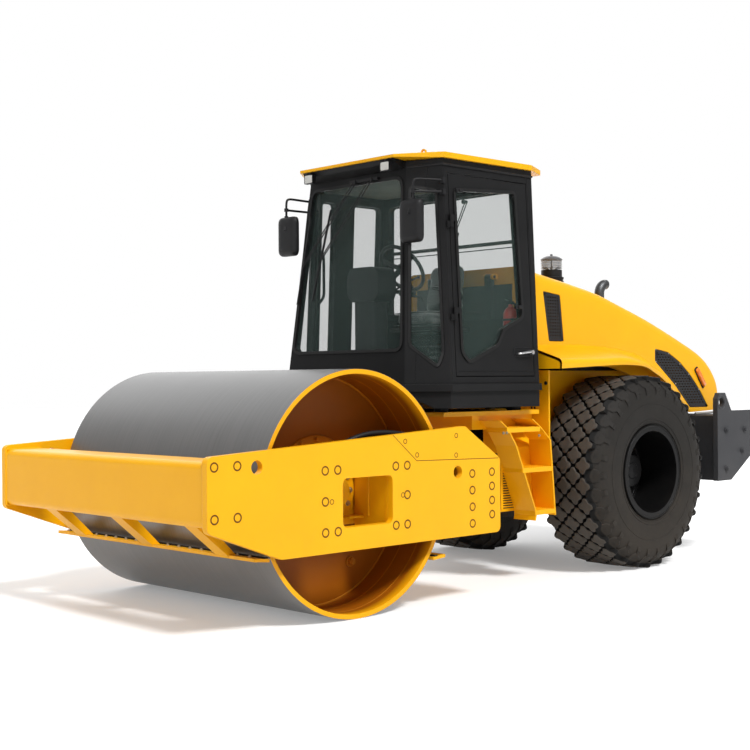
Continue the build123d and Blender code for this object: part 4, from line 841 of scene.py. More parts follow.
def buildSteps():
    look, places, bm = stepLook, [], bmesh.new()
    addRings(bm, [circle(axisZ * z, axisX, axisY, radius, 8, 0.62) for radius, z in look["tooth"]])
    units.append(linkMesh("toothUnit", bm))
    up, size = (0, 0, 1), look["toothSize"]
    for top, front, rear in look["treads"]:
        rows = 3 if front - rear > 0.25 else 2
        for row in range(rows):
            x = front - 0.03 - row * (front - rear - 0.07) / max(1, rows - 1)
            for index in range(look["teeth"]):
                y = look["y0"] + (look["y1"] - look["y0"]) * (index + 0.5 * (row % 2) + 0.25) / look["teeth"]
                places.append(((x, y, top + 0.001), up, size * 0.62))
        for index in range(look["teeth"] + 3):  # upturned teeth along the tread's outer lip
            x = rear + 0.02 + (front - rear - 0.04) * index / (look["teeth"] + 2)
            places.append(((x, look["lip"], top + 0.001), up, size * 0.55))
    makePiece("stepTeeth", repeatOnPoints("stepTeeth", units[-1], places, "yellowPaint"), "yellowPaint")
    bolts = [((x, 0.881, z), (0, 1, 0), 0.02) for x, z in look["sideBolts"]]
    bolts += [((pivotX + 0.405, y, 1.216), (1, 0, 0), 0.024) for y in look["frontBolts"]]
    boltPiece("platformBolts", bolts)


tankLook = dict(rows=22, low=0.53, pitch=0.0178, blade=0.009, sideX=(-0.132, 0.022), frontY=(0.536, 0.665),
    frame=(((-0.15, -0.128), (0.515, 0.93)), ((0.014, 0.036), (0.515, 0.93)),
        ((-0.15, 0.036), (0.925, 0.945))), frameY=(0.6805, 0.6885))


def buildTankLouvres():
    look, bars, dark = tankLook, bmesh.new(), bmesh.new()
    height = (look["low"] - 0.008, look["low"] + look["rows"] * look["pitch"])
    for side in (1, -1):
        # painted shade: a black sheet behind the louvre bars darkens the gaps
        sideBox(dark, side, look["sideX"], (0.6795, 0.6815), height)
        sideBox(dark, side, (0.0355, 0.0375), look["frontY"], height)
        for index in range(look["rows"]):
            z = look["low"] + index * look["pitch"]
            sideBox(bars, side, look["sideX"], (0.681, 0.687), (z, z + look["blade"]))
            sideBox(bars, side, (0.037, 0.042), look["frontY"], (z, z + look["blade"]))
        for x, z in look["frame"]:
            sideBox(bars, side, x, look["frameY"], z)
    makePiece("tankMeshBack", dark, "grilleBlack", smooth=0)
    makePiece("tankLouvres", bars, "yellowPaint", smooth=0)


archLook = dict(face=-0.371, holeY=(0.638, 0.668), holeZ=(1.268, 1.243, 1.218), half=0.0085, bolt=(0.775, 1.425))


def buildArchDetails():
    look, dark = archLook, bmesh.new()
    face, half, (boltY, boltZ) = look["face"], look["half"], look["bolt"]
    # painted shade: flat black patches on the panel stand for the small holes
    for side in (1, -1):
        for z in look["holeZ"]:
            for y in look["holeY"]:
                addBox(dark, (face - 0.0005, side * y - half, z - half), (face + 0.0012, side * y + half, z + half))
    makePiece("archHoles", dark, "grilleBlack")
    boltPiece("archBolts", [((face, side * boltY, boltZ), (1, 0, 0), 0.03) for side in (1, -1)],
              "charcoalPaint", unit=screwUnit)


# pin caps, hoses and cylinder collars round the middle joint; hose points are (x, y past the box, z past z)
hitchLook = dict(capRadius=0.085, caps=((0.959, 0.972), (0.408, 0.421)), boltCircle=0.055, hoseRadius=0.013,
    hoseY=0.215, hoseZ=(0.98, 0.94),
    hose=((-0.312, 0.016, 0), (-0.2, 0.018, 0), (-0.05, 0.02, -0.05), (0.06, 0.018, -0.01),
        (0.092, 0.016, 0.02)),
    rearPin=(-0.261, 0.34, 0.7), frontPin=(0.499, 0.33, 0.7), barrelEnd=0.282, collar=0.049,
    ports=(0.16, 0.4))


def buildHitch():
    look, caps, hoses = hitchLook, bmesh.new(), bmesh.new()
    for low, high in look["caps"]:
        addRod(caps, (pivotX, 0, low), (pivotX, 0, high), look["capRadius"], sides=40)
    makePiece("hitchCaps", caps, "frameBlack", edge=0.002)
    spots = circle(Vector((pivotX, 0, 0.97)), axisX, axisY, look["boltCircle"], 6)
    boltPiece("hitchBolts", [(p, (0, 0, 1), 0.026) for p in spots])
    for side in (1, -1):
        for z in look["hoseZ"]:  # hydraulic hoses clipped along the chassis box
            addPipe(hoses, [(x, side * (look["hoseY"] + out), z + up) for x, out, up in look["hose"]],
                    look["hoseRadius"], rounding=0.08)
    makePiece("chassisHoses", hoses, "hoseRubber")
    for label, side in bothSides:
        rear, front = (Vector((x, side * y, z)) for x, y, z in (look["rearPin"], look["frontPin"]))
        line = (front - rear).normalized()
        end = (front - rear).length - look["barrelEnd"]
        bm, across, outer = bmesh.new(), line.cross(axisZ), look["collar"]
        for tail, head, bore in ((0.075, 0.1, 0.044), (end - 0.03, end - 0.001, 0.044),
                                 (end, end + 0.003, 0.0245)):
            rings = []  # hollow collars, because the rod slides through the barrel
            for angle in turns(32):
                out = across * cos(angle) + axisZ * sin(angle)
                rings.append([rear + line * along + out * reach
                              for along, reach in ((tail, bore), (tail, outer), (head, outer), (head, bore))])
            addRings(bm, rings, closed=True)
        for share in look["ports"]:
            port = rear + (front - rear) * share
            addRod(bm, port + axisZ * 0.04, port + axisZ * 0.062, 0.014, sides=6)
        makePiece("cylinderGland" + label, bm, "frameBlack", "barrel_" + label.lower(), edge=0.0015)


buildSteps()
buildTankLouvres()
buildArchDetails()
buildHitch()
print("rear frame details made")

# the cab's walls lean, so every trim piece works out where its wall stands
cabLook = dict(sill=1.43, top=2.93, front=(0.934, 0.789), frontHalf=(0.62, 0.505), corner=(0.719, 0.709),
    sideY=(0.85, 0.775), rear=(-0.206, -0.223), rightCorner=0.529)


def cabAt(key, height):
    low, high = cabLook[key]
    return low + (high - low) * (height - cabLook["sill"]) / (cabLook["top"] - cabLook["sill"])


def sidePoint(side, x, z, out=0.0):
    return Vector((x, side * (cabAt("sideY", z) + out), z))


def frontPoint(y, z, out=0.0):
    return Vector((cabAt("front", z) + out, y, z))


def rearPoint(y, z, out=0.0):
    return Vector((cabAt("rear", z) - out, y, z))


def cornerPoint(side, share, z, out=0.0):  # on the slanted panel between the screen and the side
    start = Vector((cabAt("front", z), side * cabAt("frontHalf", z), z))
    end = Vector((cabAt("corner", z) if side > 0 else cabLook["rightCorner"], side * cabAt("sideY", z), z))
    line = (end - start).normalized()
    return start.lerp(end, share) + Vector((abs(line.y), side * abs(line.x), 0)) * out


def gasketRing(bm, points, rounding, outward, width, depth, inset=0.0):
    path = outlineRound(points, rounding)
    normal = (points[1] - points[0]).cross(points[-1] - points[0]).normalized()
    if normal.dot(Vector(outward)) < 0:
        path.reverse()
        normal = -normal
    # the strip grows away from the window's middle
    addStrip(bm, [p - normal * 0.003 for p in path], width, depth + 0.003, normal, inset=inset)


windowLook = dict(screen=((-0.575, 1.66), (0.575, 1.66), (0.475, 2.86), (-0.475, 2.86)),
    corner=((0.12, 2.785), (0.8, 2.75), (0.86, 1.64), (0.74, 1.545), (0.12, 1.69)),
    panels=((0.479, 0.335), (0.144, -0.146)), panelZ=(1.6, 2.84),
    rear=((-0.68, 1.9), (0.68, 1.9), (0.68, 2.84), (-0.68, 2.84)),
    door=((0.603, 2.755), (-0.021, 2.79), (-0.049, 1.899), (0.161, 1.809), (0.232, 1.696),
        (0.529, 1.576), (0.595, 1.643)))


def buildGaskets():
    look, fixed, door = windowLook, bmesh.new(), bmesh.new()
    gasketRing(fixed, [frontPoint(y, z) for y, z in look["screen"]], 0.07, axisX, 0.022, 0.009, -0.01)
    for side in (1, -1):
        outward = cornerPoint(side, 0.5, 2, 1) - cornerPoint(side, 0.5, 2)
        corner = [cornerPoint(side, share, z) for share, z in look["corner"]]
        gasketRing(fixed, corner, 0.03, outward, 0.02, 0.008, -0.008)
    low, high = look["panelZ"]
    for ahead, behind in look["panels"]:
        panel = [sidePoint(-1, x, z) for x, z in ((ahead, low), (ahead, high), (behind, high), (behind, low))]
        gasketRing(fixed, panel, 0.04, -axisY, 0.02, 0.008, -0.008)
    gasketRing(fixed, [rearPoint(y, z) for y, z in look["rear"]], 0.05, -axisX, 0.022, 0.008, -0.008)
    gasketRing(door, [sidePoint(1, x, z) for x, z in look["door"]], 0.035, axisY, 0.024, 0.009, -0.008)
    makePiece("windowGaskets", fixed, "gasketRubber")
    makePiece("doorGasket", door, "gasketRubber", "cab_door")


doorLook = dict(handleX=(-0.125, 0.03), handleZ=1.646, hinges=(1.859, 2.493), catches=((0.0, 1.97), (0.565, 2.755)),
    inner=((0.64, 1.5), (0.64, 2.85), (-0.135, 2.85), (-0.135, 1.5)),
    hingeScrews=(("cab_door", 0.632, 0.06), ("rear_frame", 0.69, 0.014)))


def buildDoorDetails():
    look, bright, dark, panel = doorLook, bmesh.new(), bmesh.new(), bmesh.new()
    (x0, x1), z = look["handleX"], look["handleZ"]
    y, turnX = cabAt("sideY", z), x0 + 0.01
    addPipe(bright, [(x1, y + 0.006, z - 0.01), (x1, y + 0.034, z - 0.008), (x0 + 0.04, y + 0.037, z + 0.004),
                     (x0, y + 0.03, z + 0.004)], 0.0085, rounding=0.018)
    addRod(bright, (turnX, y - 0.002, z + 0.002), (turnX, y + 0.034, z + 0.002), 0.02, 0.016, sides=28)
    addRod(bright, (turnX, y + 0.033, z + 0.002), (turnX, y + 0.038, z + 0.002), 0.009, sides=16)
    recess = ((x0 - 0.022, 1.622), (x1 + 0.022, 1.618), (x1 + 0.022, 1.676), (x0 - 0.022, 1.68))
    gasketRing(dark, [sidePoint(1, a, b) for a, b in recess], 0.02, axisY, 0.005, 0.004)
    makePiece("doorHandle", bright, "handleChrome", "cab_door", smooth=50)
    for x, height in look["catches"]:
        point = sidePoint(1, x, height, 0.002)
        addBox(dark, point + Vector((-0.035, 0, -0.012)), point + Vector((0.035, 0.018, 0.012)))
        addRod(dark, point + axisY * 0.01, point + axisY * 0.026, 0.014, 0.01, sides=16)
    gasketRing(dark, [sidePoint(1, a, b, -0.052) for a, b in look["inner"]], 0.03, -axisY, 0.012, 0.01, -0.018)
    makePiece("doorTrim", dark, "mouldedPlastic", "cab_door", edge=0.0015)
    line = [sidePoint(1, x, 1.515) for x in (0.63, -0.12)]  # pressed panel joint low on the door
    addStrip(panel, line, 0.006, 0.0025, axisY, closed=False)
    makePiece("doorPress", panel, "charcoalPaint", "cab_door")
    for body, x, rise in look["hingeScrews"]:
        places = [(sidePoint(1, x, height + up, 0.0185), (0, 1, 0), 0.01)
                  for height in look["hinges"] for up in (rise, rise + 0.015)]
        boltPiece("hingeScrews_" + body, places, "charcoalPaint", body, unit=screwUnit)


# each wiper's wall, pivot, tip, the blade's two ends and how far it stands off
wiperLook = dict(wipers=((frontPoint, (0.02, 2.875), (-0.5, 2.3), ((-0.455, 2.66), (-0.545, 2.02)), 0.03),
        (frontPoint, (0.19, 2.875), (-0.3, 2.34), ((-0.235, 2.7), (-0.375, 2.04)), 0.03),
        (rearPoint, (0.1, 2.815), (-0.05, 2.52), ((-0.05, 2.74), (-0.05, 2.31)), 0.026)),
    radius=0.006, spread=0.011,
    motors=(((0.802, -0.04, 2.868), (0.826, 0.25, 2.888)), ((-0.262, 0.04, 2.845), (-0.226, 0.16, 2.885))))


def buildWipers():
    look, arms, rubber = wiperLook, bmesh.new(), bmesh.new()
    radius = look["radius"]
    for place, pivot, tip, ends, gap in look["wipers"]:
        outward = place(0, 2.4, 1) - place(0, 2.4, 0)
        start, end = place(*pivot, 0.012), place(*tip, gap)
        across = (end - place(*pivot, gap)).normalized().cross(outward).normalized() * look["spread"]
        for shift in (-1, 1):  # two parallel rods carry the blade
            addPipe(arms, [start + across * shift, place(*pivot, gap + 0.004) + across * shift,
                           end + across * shift * 0.6], radius * 0.72, sides=8, rounding=0.02)
        addRod(arms, place(*pivot, -0.004), place(*pivot, gap + 0.01), 0.017, 0.013, sides=20)
        low, high = (place(*spot, gap - 0.006) for spot in ends)
        for share in (0.2, 0.5, 0.8):
            point = low.lerp(high, share)
            addRod(arms, point, point - outward * 0.012, 0.006, sides=8)
        addPipe(arms, [low, high], radius * 0.85, sides=8)
        addPipe(rubber, [place(*spot, gap - 0.016) for spot in ends], 0.0045, sides=6)
        addPipe(arms, [end, low.lerp(high, 0.5)], radius * 0.8, sides=8)
    for low, high in look["motors"]:
        addBox(arms, low, high)
    makePiece("wiperArms", arms, "mouldedPlastic")
    makePiece("wiperBlades", rubber, "gasketRubber")


trimLook = dict(bars=((2.47, 0.014), (2.43, 0.004)), posts=(-0.675, 0.675), gutterZ=2.926, frontSeam=-0.17,
    corners=(0.709, 0.529), seams=(0.7, 0.52),
    lining=((0.735, 0.44), (0.655, 0.715), (-0.165, 0.715), (-0.165, -0.715), (0.48, -0.715),
        (0.735, -0.44)),
    mat=((0.865, 0.58), (0.665, 0.785), (-0.15, 0.785), (-0.15, -0.785), (0.48, -0.785),
        (0.865, -0.58)))


def buildCabTrim():
    look, dark, lining, mat = trimLook, bmesh.new(), bmesh.new(), bmesh.new()
    for z, size in look["bars"]:  # rear window's cross bar and thin heater line
        addPipe(dark, [rearPoint(y, z, 0.004) for y in (-0.68, 0.68)], size, sides=10)
    for y in look["posts"]:
        addPipe(dark, [rearPoint(y, z, 0.004) for z in (1.91, 2.83)], 0.008, sides=8)
    for side, corner, seam in zip((1, -1), look["corners"], look["seams"]):
        gutter = ((0.787, side * 0.509), (corner, side * 0.781), (-0.222, side * 0.781))
        addPipe(dark, [(x, y, look["gutterZ"]) for x, y in gutter], 0.008, sides=8)
        for x in (look["frontSeam"], seam):  # seams of the corner posts
            addStrip(dark, [sidePoint(side, x, 1.445), sidePoint(side, x, 2.915)], 0.004, 0.0016, (0, side, 0),
                     closed=False)
    makePiece("cabTrim", dark, "mouldedPlastic")
    addRings(lining, [[(x, y, z) for x, y in look["lining"]] for z in (2.905, 2.926)])
    makePiece("roofLining", lining, "liningCloth", edge=0.004)
    addRings(mat, [[(x, y, z) for x, y in look["mat"]] for z in (1.4305, 1.442)])
    for index in range(24):
        y = -0.5 + index * 0.043
        addBox(mat, (0.28, y, 1.441), (0.52, y + 0.018, 1.446))
    makePiece("floorMat", mat, "softRubber", edge=0.002)


def uprightRing(x, y, z, halfY, halfZ, rounding, steps):  # a rounded rectangle that faces along the machine
    return outlineRound([Vector((x, y + a * halfY, z + b * halfZ)) for a, b in square], rounding, steps)


lampLook = dict(face=0.9005, y=0.405, half=0.041, low=2.9075, high=2.964, rimZ=0.0292,
    bulge=((-0.004, 1.0), (0.0006, 1.0), (0.0022, 0.9), (0.003, 0.55)))


def buildLamps():
    look, lens, shell = lampLook, bmesh.new(), bmesh.new()
    face, half, middle = look["face"], look["half"], (look["low"] + look["high"]) / 2
    halfZ = look["high"] - middle
    for y in (-look["y"], look["y"]):
        addRings(lens, [uprightRing(face + out, y, middle, half * shrink, halfZ * shrink, 0.012, 4)
                        for out, shrink in look["bulge"]])
        outline = [Vector((face - 0.002, y + a * (half + 0.001), middle + b * look["rimZ"])) for a, b in square]
        gasketRing(shell, outline, 0.01, axisX, 0.004, 0.004)
        for up in range(4):  # cooling fins
            z = look["low"] + 0.01 + up * 0.012
            addBox(shell, (0.862, y - 0.036, z), (0.869, y + 0.036, z + 0.005))
        addRod(shell, (0.884, y, 2.962), (0.884, y, 2.984), 0.012, sides=16)
    makePiece("lampLenses", lens, "clearLens", smooth=60)
    makePiece("lampShells", shell, "mouldedPlastic")


mirrorLook = dict(x=0.891, y=0.654, halfY=0.1, low=2.388, high=2.682, post=0.02, arms=(2.815, 2.735),
    head=((-0.028, 0.93), (-0.02, 1.0), (0.002, 1.0), (0.018, 0.94), (0.026, 0.8), (0.028, 0.5)),
    sleeves=((2.724, 2.748, 0.016), (2.6, 2.69, 0.015)))


def buildMirrors():
    look, heads, glass, arms = mirrorLook, bmesh.new(), bmesh.new(), bmesh.new()
    x, halfY, low, high = look["x"], look["halfY"], look["low"], look["high"]
    middle, halfZ = (low + high) / 2, (high - low) / 2
    for side in (1, -1):
        y, postY = side * look["y"], side * (look["y"] + look["post"])
        addRings(heads, [uprightRing(x + along, y, middle, halfY * shrink, halfZ - halfY * (1 - shrink), 0.045, 6)
                         for along, shrink in look["head"]])
        addRings(glass, [uprightRing(x + along, y, middle, 0.082, halfZ - 0.018, 0.035, 6)
                         for along in (-0.0285, -0.0268)])
        upper, lower = (cornerPoint(side, 1.0 if side > 0 else 0.55, z, 0.004) for z in look["arms"])
        post = [upper, (x - 0.02, postY, 2.822), (x, postY, 2.8), (x, postY, 2.64)]
        addPipe(arms, post, 0.0085, rounding=0.045)
        addPipe(arms, [lower, (x - 0.01, postY, 2.735)], 0.0085)
        for point in (upper, lower):
            addBox(arms, point - Vector((0.014, 0.014, 0.02)), point + Vector((0.014, 0.014, 0.02)))
        for low, high, radius in look["sleeves"]:
            addRod(arms, (x, postY, low), (x, postY, high), radius, sides=20)
        addPipe(arms, [(x + 0.01, postY, 2.66), (x + 0.031, y, 2.58)], 0.008)
    makePiece("mirrorHeads", heads, "mouldedPlastic", stands=("mirrors",), smooth=45)
    makePiece("mirrorArms", arms, "armPaint", stands=("mirrors",))
    makePiece("mirrorGlass", glass, "mirrorGlass")


for build in (buildGaskets, buildDoorDetails, buildWipers, buildCabTrim, buildLamps, buildMirrors):
    build()
print("cab trim made")

# driver's seat, blown up from its plain shape as real foam under cloth; pads are (outline, low, high)
seatLook = dict(x=0.049, voxel=0.006, pressure=4.0, cap=0.026, frames=20, rounding=0.07,
    cushion=([(-0.135, -0.205), (0.205, -0.19), (0.205, 0.19), (-0.135, 0.205)], 0.022, 0.094),
    back=([(-0.215, -0.175), (0.17, -0.2), (0.17, 0.2), (-0.215, 0.175)], 0.018, 0.072),
    padLevels=((0.0, 0.96), (0.25, 1.0), (0.75, 1.0), (1.0, 0.96)), tilt=-98,
    pipingOutline=((-0.14, -0.21), (0.212, -0.196), (0.212, 0.196), (-0.14, 0.21)),
    piping=((1.862, 1.0), (1.952, 0.97)), post=((-0.125, 0.205, 2.06), (-0.11, 0.222, 2.1), (0.1, 0.222, 2.11)),
    rest=((-0.06, 0.4), (-0.05, 0.9), (0.0, 1.0), (0.15, 1.0), (0.19, 0.8), (0.2, 0.4)),
    folds=7, foldHeight=0.044, fold=((0.0, -0.04), (0.022, 0.05), (0.044, -0.04)), foldHalf=0.145)


def padShape(outline, low, high):  # outline in the pad's own plane, from low to high
    bm = bmesh.new()
    path = outlineRound([(x, y, 0) for x, y in outline], seatLook["rounding"], 4)
    addRings(bm, [[Vector((p.x * shrink, p.y * shrink, low + (high - low) * share)) for p in path]
                  for share, shrink in seatLook["padLevels"]])
    return bm


def inflate(piece):  # a cloth run that swells the pad, kept as its mesh
    scene = bpy.context.scene
    for other in bpy.data.objects:
        other.select_set(False)
    bpy.context.view_layer.objects.active = piece
    piece.select_set(True)
    remesh = piece.modifiers.new("evenMesh", "REMESH")
    remesh.mode, remesh.voxel_size = "VOXEL", seatLook["voxel"] * 2
    bpy.ops.object.modifier_apply(modifier=remesh.name)
    start = [v.co.copy() for v in piece.data.vertices]
    cloth = piece.modifiers.new("foam", "CLOTH")
    cloth.settings.use_pressure = True
    cloth.settings.uniform_pressure_force = seatLook["pressure"]
    cloth.settings.quality, cloth.settings.mass = 4, 0.4
    cloth.settings.tension_stiffness = cloth.settings.compression_stiffness = 22
    cloth.settings.bending_stiffness = 0.8
    cloth.settings.effector_weights.gravity = 0
    cloth.point_cache.frame_start, cloth.point_cache.frame_end = 1, seatLook["frames"]
    for frameNumber in range(1, seatLook["frames"] + 1):
        scene.frame_set(frameNumber)
    bpy.ops.object.modifier_apply(modifier=cloth.name)
    for vertex, before in zip(piece.data.vertices, start):
        move = vertex.co - before
        if move.length > seatLook["cap"]:
            vertex.co = before + move.normalized() * seatLook["cap"]
    scene.frame_set(1)


def buildSeat():
    look, x = seatLook, seatLook["x"]
    tilt = Matrix.Rotation(radians(look["tilt"]), 4, "Y") @ Matrix.Rotation(pi, 4, "Z")
    pads = []
    for name, pad, place in (("seatCushion", look["cushion"], Matrix.Translation((x + 0.002, 0, 1.85))),
                             ("seatBack", look["back"], Matrix.Translation((x - 0.128, 0, 2.132)) @ tilt)):
        piece = linkMesh(name, padShape(*pad))
        inflate(piece)
        piece.data.transform(place)
        piece.data.update()
        pads.append(piece)
    for piece in pads:
        smooth = piece.modifiers.new("smoothCloth", "SUBSURF")
        smooth.levels = smooth.render_levels = 1
        makePiece(piece.name, piece, "seatCloth", stands=("seat",), smooth=180)
    piping, rests, bellows = bmesh.new(), bmesh.new(), bmesh.new()
    for z, shrink in look["piping"]:
        ring = [(x + a * shrink, b * shrink, z) for a, b in look["pipingOutline"]]
        addStrip(piping, outlineRound(ring, look["rounding"], 6), 0.006, 0.006, axisZ, inset=0.004)
    for side in (-1, 1):  # arm rests on their posts
        addPipe(piping, [(x + along, side * y, z) for along, y, z in look["post"]], 0.012, rounding=0.03)
        addRings(rests, [circle(Vector((x + along, side * 0.215, 2.127)), axisY, axisZ, 0.024 * size, 14, 2 / 3)
                         for along, size in look["rest"]])
    makePiece("seatPiping", piping, "mouldedPlastic", smooth=60)
    makePiece("armRests", rests, "mouldedPlastic", smooth=60)
    for index in range(look["folds"]):
        z = 1.5 + index * look["foldHeight"]
        ring = outlineRound([(a * look["foldHalf"], b * look["foldHalf"], z) for a, b in square], 0.04, 4)
        addRings(bellows, [[Vector((x + p.x * (1 + grow), p.y * (1 + grow), z + lift)) for p in ring]
                           for lift, grow in look["fold"]])
    makePiece("seatBellows", bellows, "softRubber", smooth=60)


controlLook = dict(wheel=(0.341, 0.0, 2.283), lean=(-0.81, 0.0, 0.59), ring=0.19, grip=0.015, ringSteps=72,
    spokes=(90, 210, 330), spoke=((0.022, 0.026, 0.014), (0.1, 0.015, 0.016), (0.182, 0.02, 0.002)),
    hub=((-0.02, 0.036), (-0.004, 0.04), (0.006, 0.038), (0.009, 0.024), (0.01, 0.004)),
    dials=((-0.075, 2.185, 0.036), (0.0, 2.2, 0.03), (0.075, 2.185, 0.036), (-0.11, 2.095, 0.017),
        (0.11, 2.095, 0.017)),
    levers=(((0.2, -0.34, 1.95), (0.21, -0.345, 2.1), (0.17, -0.34, 2.2), 0.022),
        ((0.1, -0.34, 1.95), (0.11, -0.345, 2.06), (0.08, -0.34, 2.14), 0.018),
        ((0.6, 0.19, 2.1), (0.55, 0.27, 2.16), (0.5, 0.33, 2.19), 0.012)),
    knob=((-0.02, 0.3), (-0.015, 0.8), (0.0, 1.0), (0.015, 0.8), (0.022, 0.2)),
    sideConsole=(((-0.05, 0.3), (0.275, 0.405), (1.9, 1.955)),
        ((-0.03, 0.26), (0.29, 0.39), (1.442, 1.905))),
    grab=((0.52, 0.735, 2.05), (0.5, 0.7, 2.1), (0.5, 0.7, 2.42), (0.52, 0.735, 2.47)))


def buildSteeringWheel():
    look, wheel, hub = controlLook, bmesh.new(), bmesh.new()
    centre, lean = Vector(look["wheel"]), Vector(look["lean"]).normalized()
    up = lean.cross(axisY).normalized()
    rings = []
    for angle in turns(look["ringSteps"]):
        out = axisY * cos(angle) + up * sin(angle)
        grip = look["grip"] * (0.93 + 0.07 * abs(sin(angle * 12)))
        rings.append(circle(centre + out * look["ring"], out, lean, grip, 12))
    addRings(wheel, rings, closed=True)
    for angle in (radians(degrees) for degrees in look["spokes"]):
        out = axisY * cos(angle) + up * sin(angle)
        flat = axisY * -sin(angle) + up * cos(angle)
        ring = []
        for reach, half, drop in look["spoke"]:
            middle, rise = centre + out * reach - lean * drop, lean * 0.009
            ring.append([middle + flat * half, middle + flat * half * 0.8 + rise, middle - flat * half * 0.8 + rise,
                         middle - flat * half])
        addRings(wheel, ring)
    addRings(hub, [circle(centre + lean * lift, axisY, up, radius, 32) for lift, radius in look["hub"]])
    knob = centre + (axisY * 0.72 + up * 0.69) * look["ring"]
    addRod(hub, knob, knob + lean * 0.024, 0.008, sides=14)
    makePiece("wheelGrip", wheel, "mouldedPlastic", stands=("steering_wheel",), smooth=60)
    makePiece("wheelHub", hub, "mouldedPlastic", stands=("steering_wheel",), smooth=50)


def buildControls():
    look = controlLook
    dials, faces, levers, grab = bmesh.new(), bmesh.new(), bmesh.new(), bmesh.new()
    for y, z, radius in look["dials"]:
        addHoop(dials, (0, y, z), 0.5535, radius, 0.004, 32, axis="X")
        addRod(faces, (0.5555, y, z), (0.5625, y, z), radius - 0.002, sides=32)
    for index in range(8):  # a row of switches
        y = -0.105 + index * 0.03
        addBox(dials, (0.55, y - 0.01, 2.04), (0.562, y + 0.01, 2.062))
    makePiece("consoleDials", dials, "mouldedPlastic", edge=0.001)
    makePiece("dialFaces", faces, "dialFace", smooth=0)
    for foot, bend, top, size in look["levers"]:
        addPipe(levers, [foot, bend, top], 0.007, rounding=0.03)
        addRings(levers, [circle(Vector(top) + axisZ * lift * size / 0.02, axisX, axisY, size * radius, 14)
                          for lift, radius in look["knob"]])
    for y in (0.2, -0.2):  # pedals on the floor
        addBox(levers, (0.62, y - 0.05, 1.47), (0.66, y + 0.05, 1.6), Matrix.Rotation(0.6, 4, "Y"))
    for x, y, z in look["sideConsole"]:
        sideBox(levers, -1, x, y, z)
    makePiece("leversAndPedals", levers, "mouldedPlastic", edge=0.003)
    for side in (1, -1):
        addPipe(grab, [(x, side * y, z) for x, y, z in look["grab"]], 0.011, rounding=0.04)
    makePiece("grabRails", grab, "mouldedPlastic")


# red fire extinguisher on the rear wall's left, measured from its foot
bottleLook = dict(place=(-0.12, 0.66, 0.0), bands=(1.7, 1.88), bandRadii=(0.057, 0.0615),
    profile=((1.62, 0.004), (1.62, 0.052), (1.64, 0.058), (1.93, 0.058), (1.965, 0.044),
        (1.985, 0.018), (2.00, 0.018), (2.00, 0.004)),
    hose=((0.0, 0.025, 2.01), (0.0, 0.075, 1.97), (0.0, 0.072, 1.72)))


def buildExtinguisher():
    look, bottle, valve = bottleLook, bmesh.new(), bmesh.new()
    place, (inner, outer) = Vector(look["place"]), look["bandRadii"]
    addLathe(bottle, place, look["profile"], sides=36, axis="Z")
    makePiece("extinguisher", bottle, "redPaint")
    addBox(valve, place + Vector((-0.012, -0.022, 2.000)), place + Vector((0.03, 0.022, 2.022)))
    addBox(valve, place + Vector((-0.012, -0.01, 2.028)), place + Vector((0.07, 0.01, 2.036)),
           Matrix.Rotation(-0.25, 4, "Y"))
    addPipe(valve, [place + Vector(p) for p in look["hose"]], 0.008, rounding=0.04)
    for z in look["bands"]:
        addLathe(valve, place, [(z, inner), (z + 0.016, inner), (z + 0.016, outer), (z, outer)], sides=36, axis="Z")
    makePiece("extinguisherValve", valve, "mouldedPlastic")


for build in (buildSeat, buildSteeringWheel, buildControls, buildExtinguisher):
    build()
print("seat and controls made")

# the hood's smooth skin, made along its top line; (x from the rear axle, z) in millimetres
hoodLook = dict(half=0.62, rounding=0.09, wall=0.02, frontX=-0.321, cornerSteps=6, lineSteps=6, insideLow=1.0,
    top=[(950, 2298), (616, 2238), (326, 2190), (12, 2130), (-248, 2058), (-654, 1937), (-1081, 1787),
        (-1378, 1670), (-1530, 1572), (-1640, 1442), (-1676, 1300), (-1650, 1180)],
    low=[(-1600, 1180), (-1206, 1165), (-1150, 1175), (-850, 1290), (-500, 1435), (-290, 1500),
        (-90, 1545), (160, 1558), (500, 1549), (950, 1530)],
    lugs=(0.3305, 0.2495, -0.3505, -0.2695))
grilleLook = dict(front=[(738, 2117), (536, 2095), (493, 1740), (672, 1740)],
    rear=[(-692, 1700), (-876, 1673), (-1049, 1590), (-1196, 1489), (-1344, 1352),
        (-1470, 1205), (-1191, 1205), (-973, 1397), (-690, 1597)],
    cells=dict(front=(0.0285, 0.024, 0.0055), rear=(0.04, 0.0225, 0.006)),
    sheetY=0.6165, frameY=0.6135, frameWidth=0.02, bare=(5, 6), holeShadeY=(0.59, 0.594),
    hole=((-0.92, -0.8), (0, -1), (0.92, -0.8), (1, 0), (0.92, 0.8), (0, 1), (-0.92, 0.8), (-1, 0)),
    cell=((-1, -1), (0, -1), (1, -1), (1, 0), (1, 1), (0, 1), (-1, 1), (-1, 0)))


def fromAxle(points):  # millimetres from the rear axle to metres in the frame
    return [Vector((axleX + x / 1000, 0, z / 1000)) for x, z in points]


def smoothLine(points, steps):  # a curve through every point
    path = []
    for index in range(len(points) - 1):
        p0, p1, p2 = points[max(index - 1, 0)], points[index], points[index + 1]
        p3 = points[min(index + 2, len(points) - 1)]
        path += [0.5 * ((2 * p1) + (p2 - p0) * t + (2 * p0 - 5 * p1 + 4 * p2 - p3) * t * t
                        + (3 * p1 - p0 - 3 * p2 + p3) * t ** 3) for t in (step / steps for step in range(steps))]
    return path + [points[-1]]


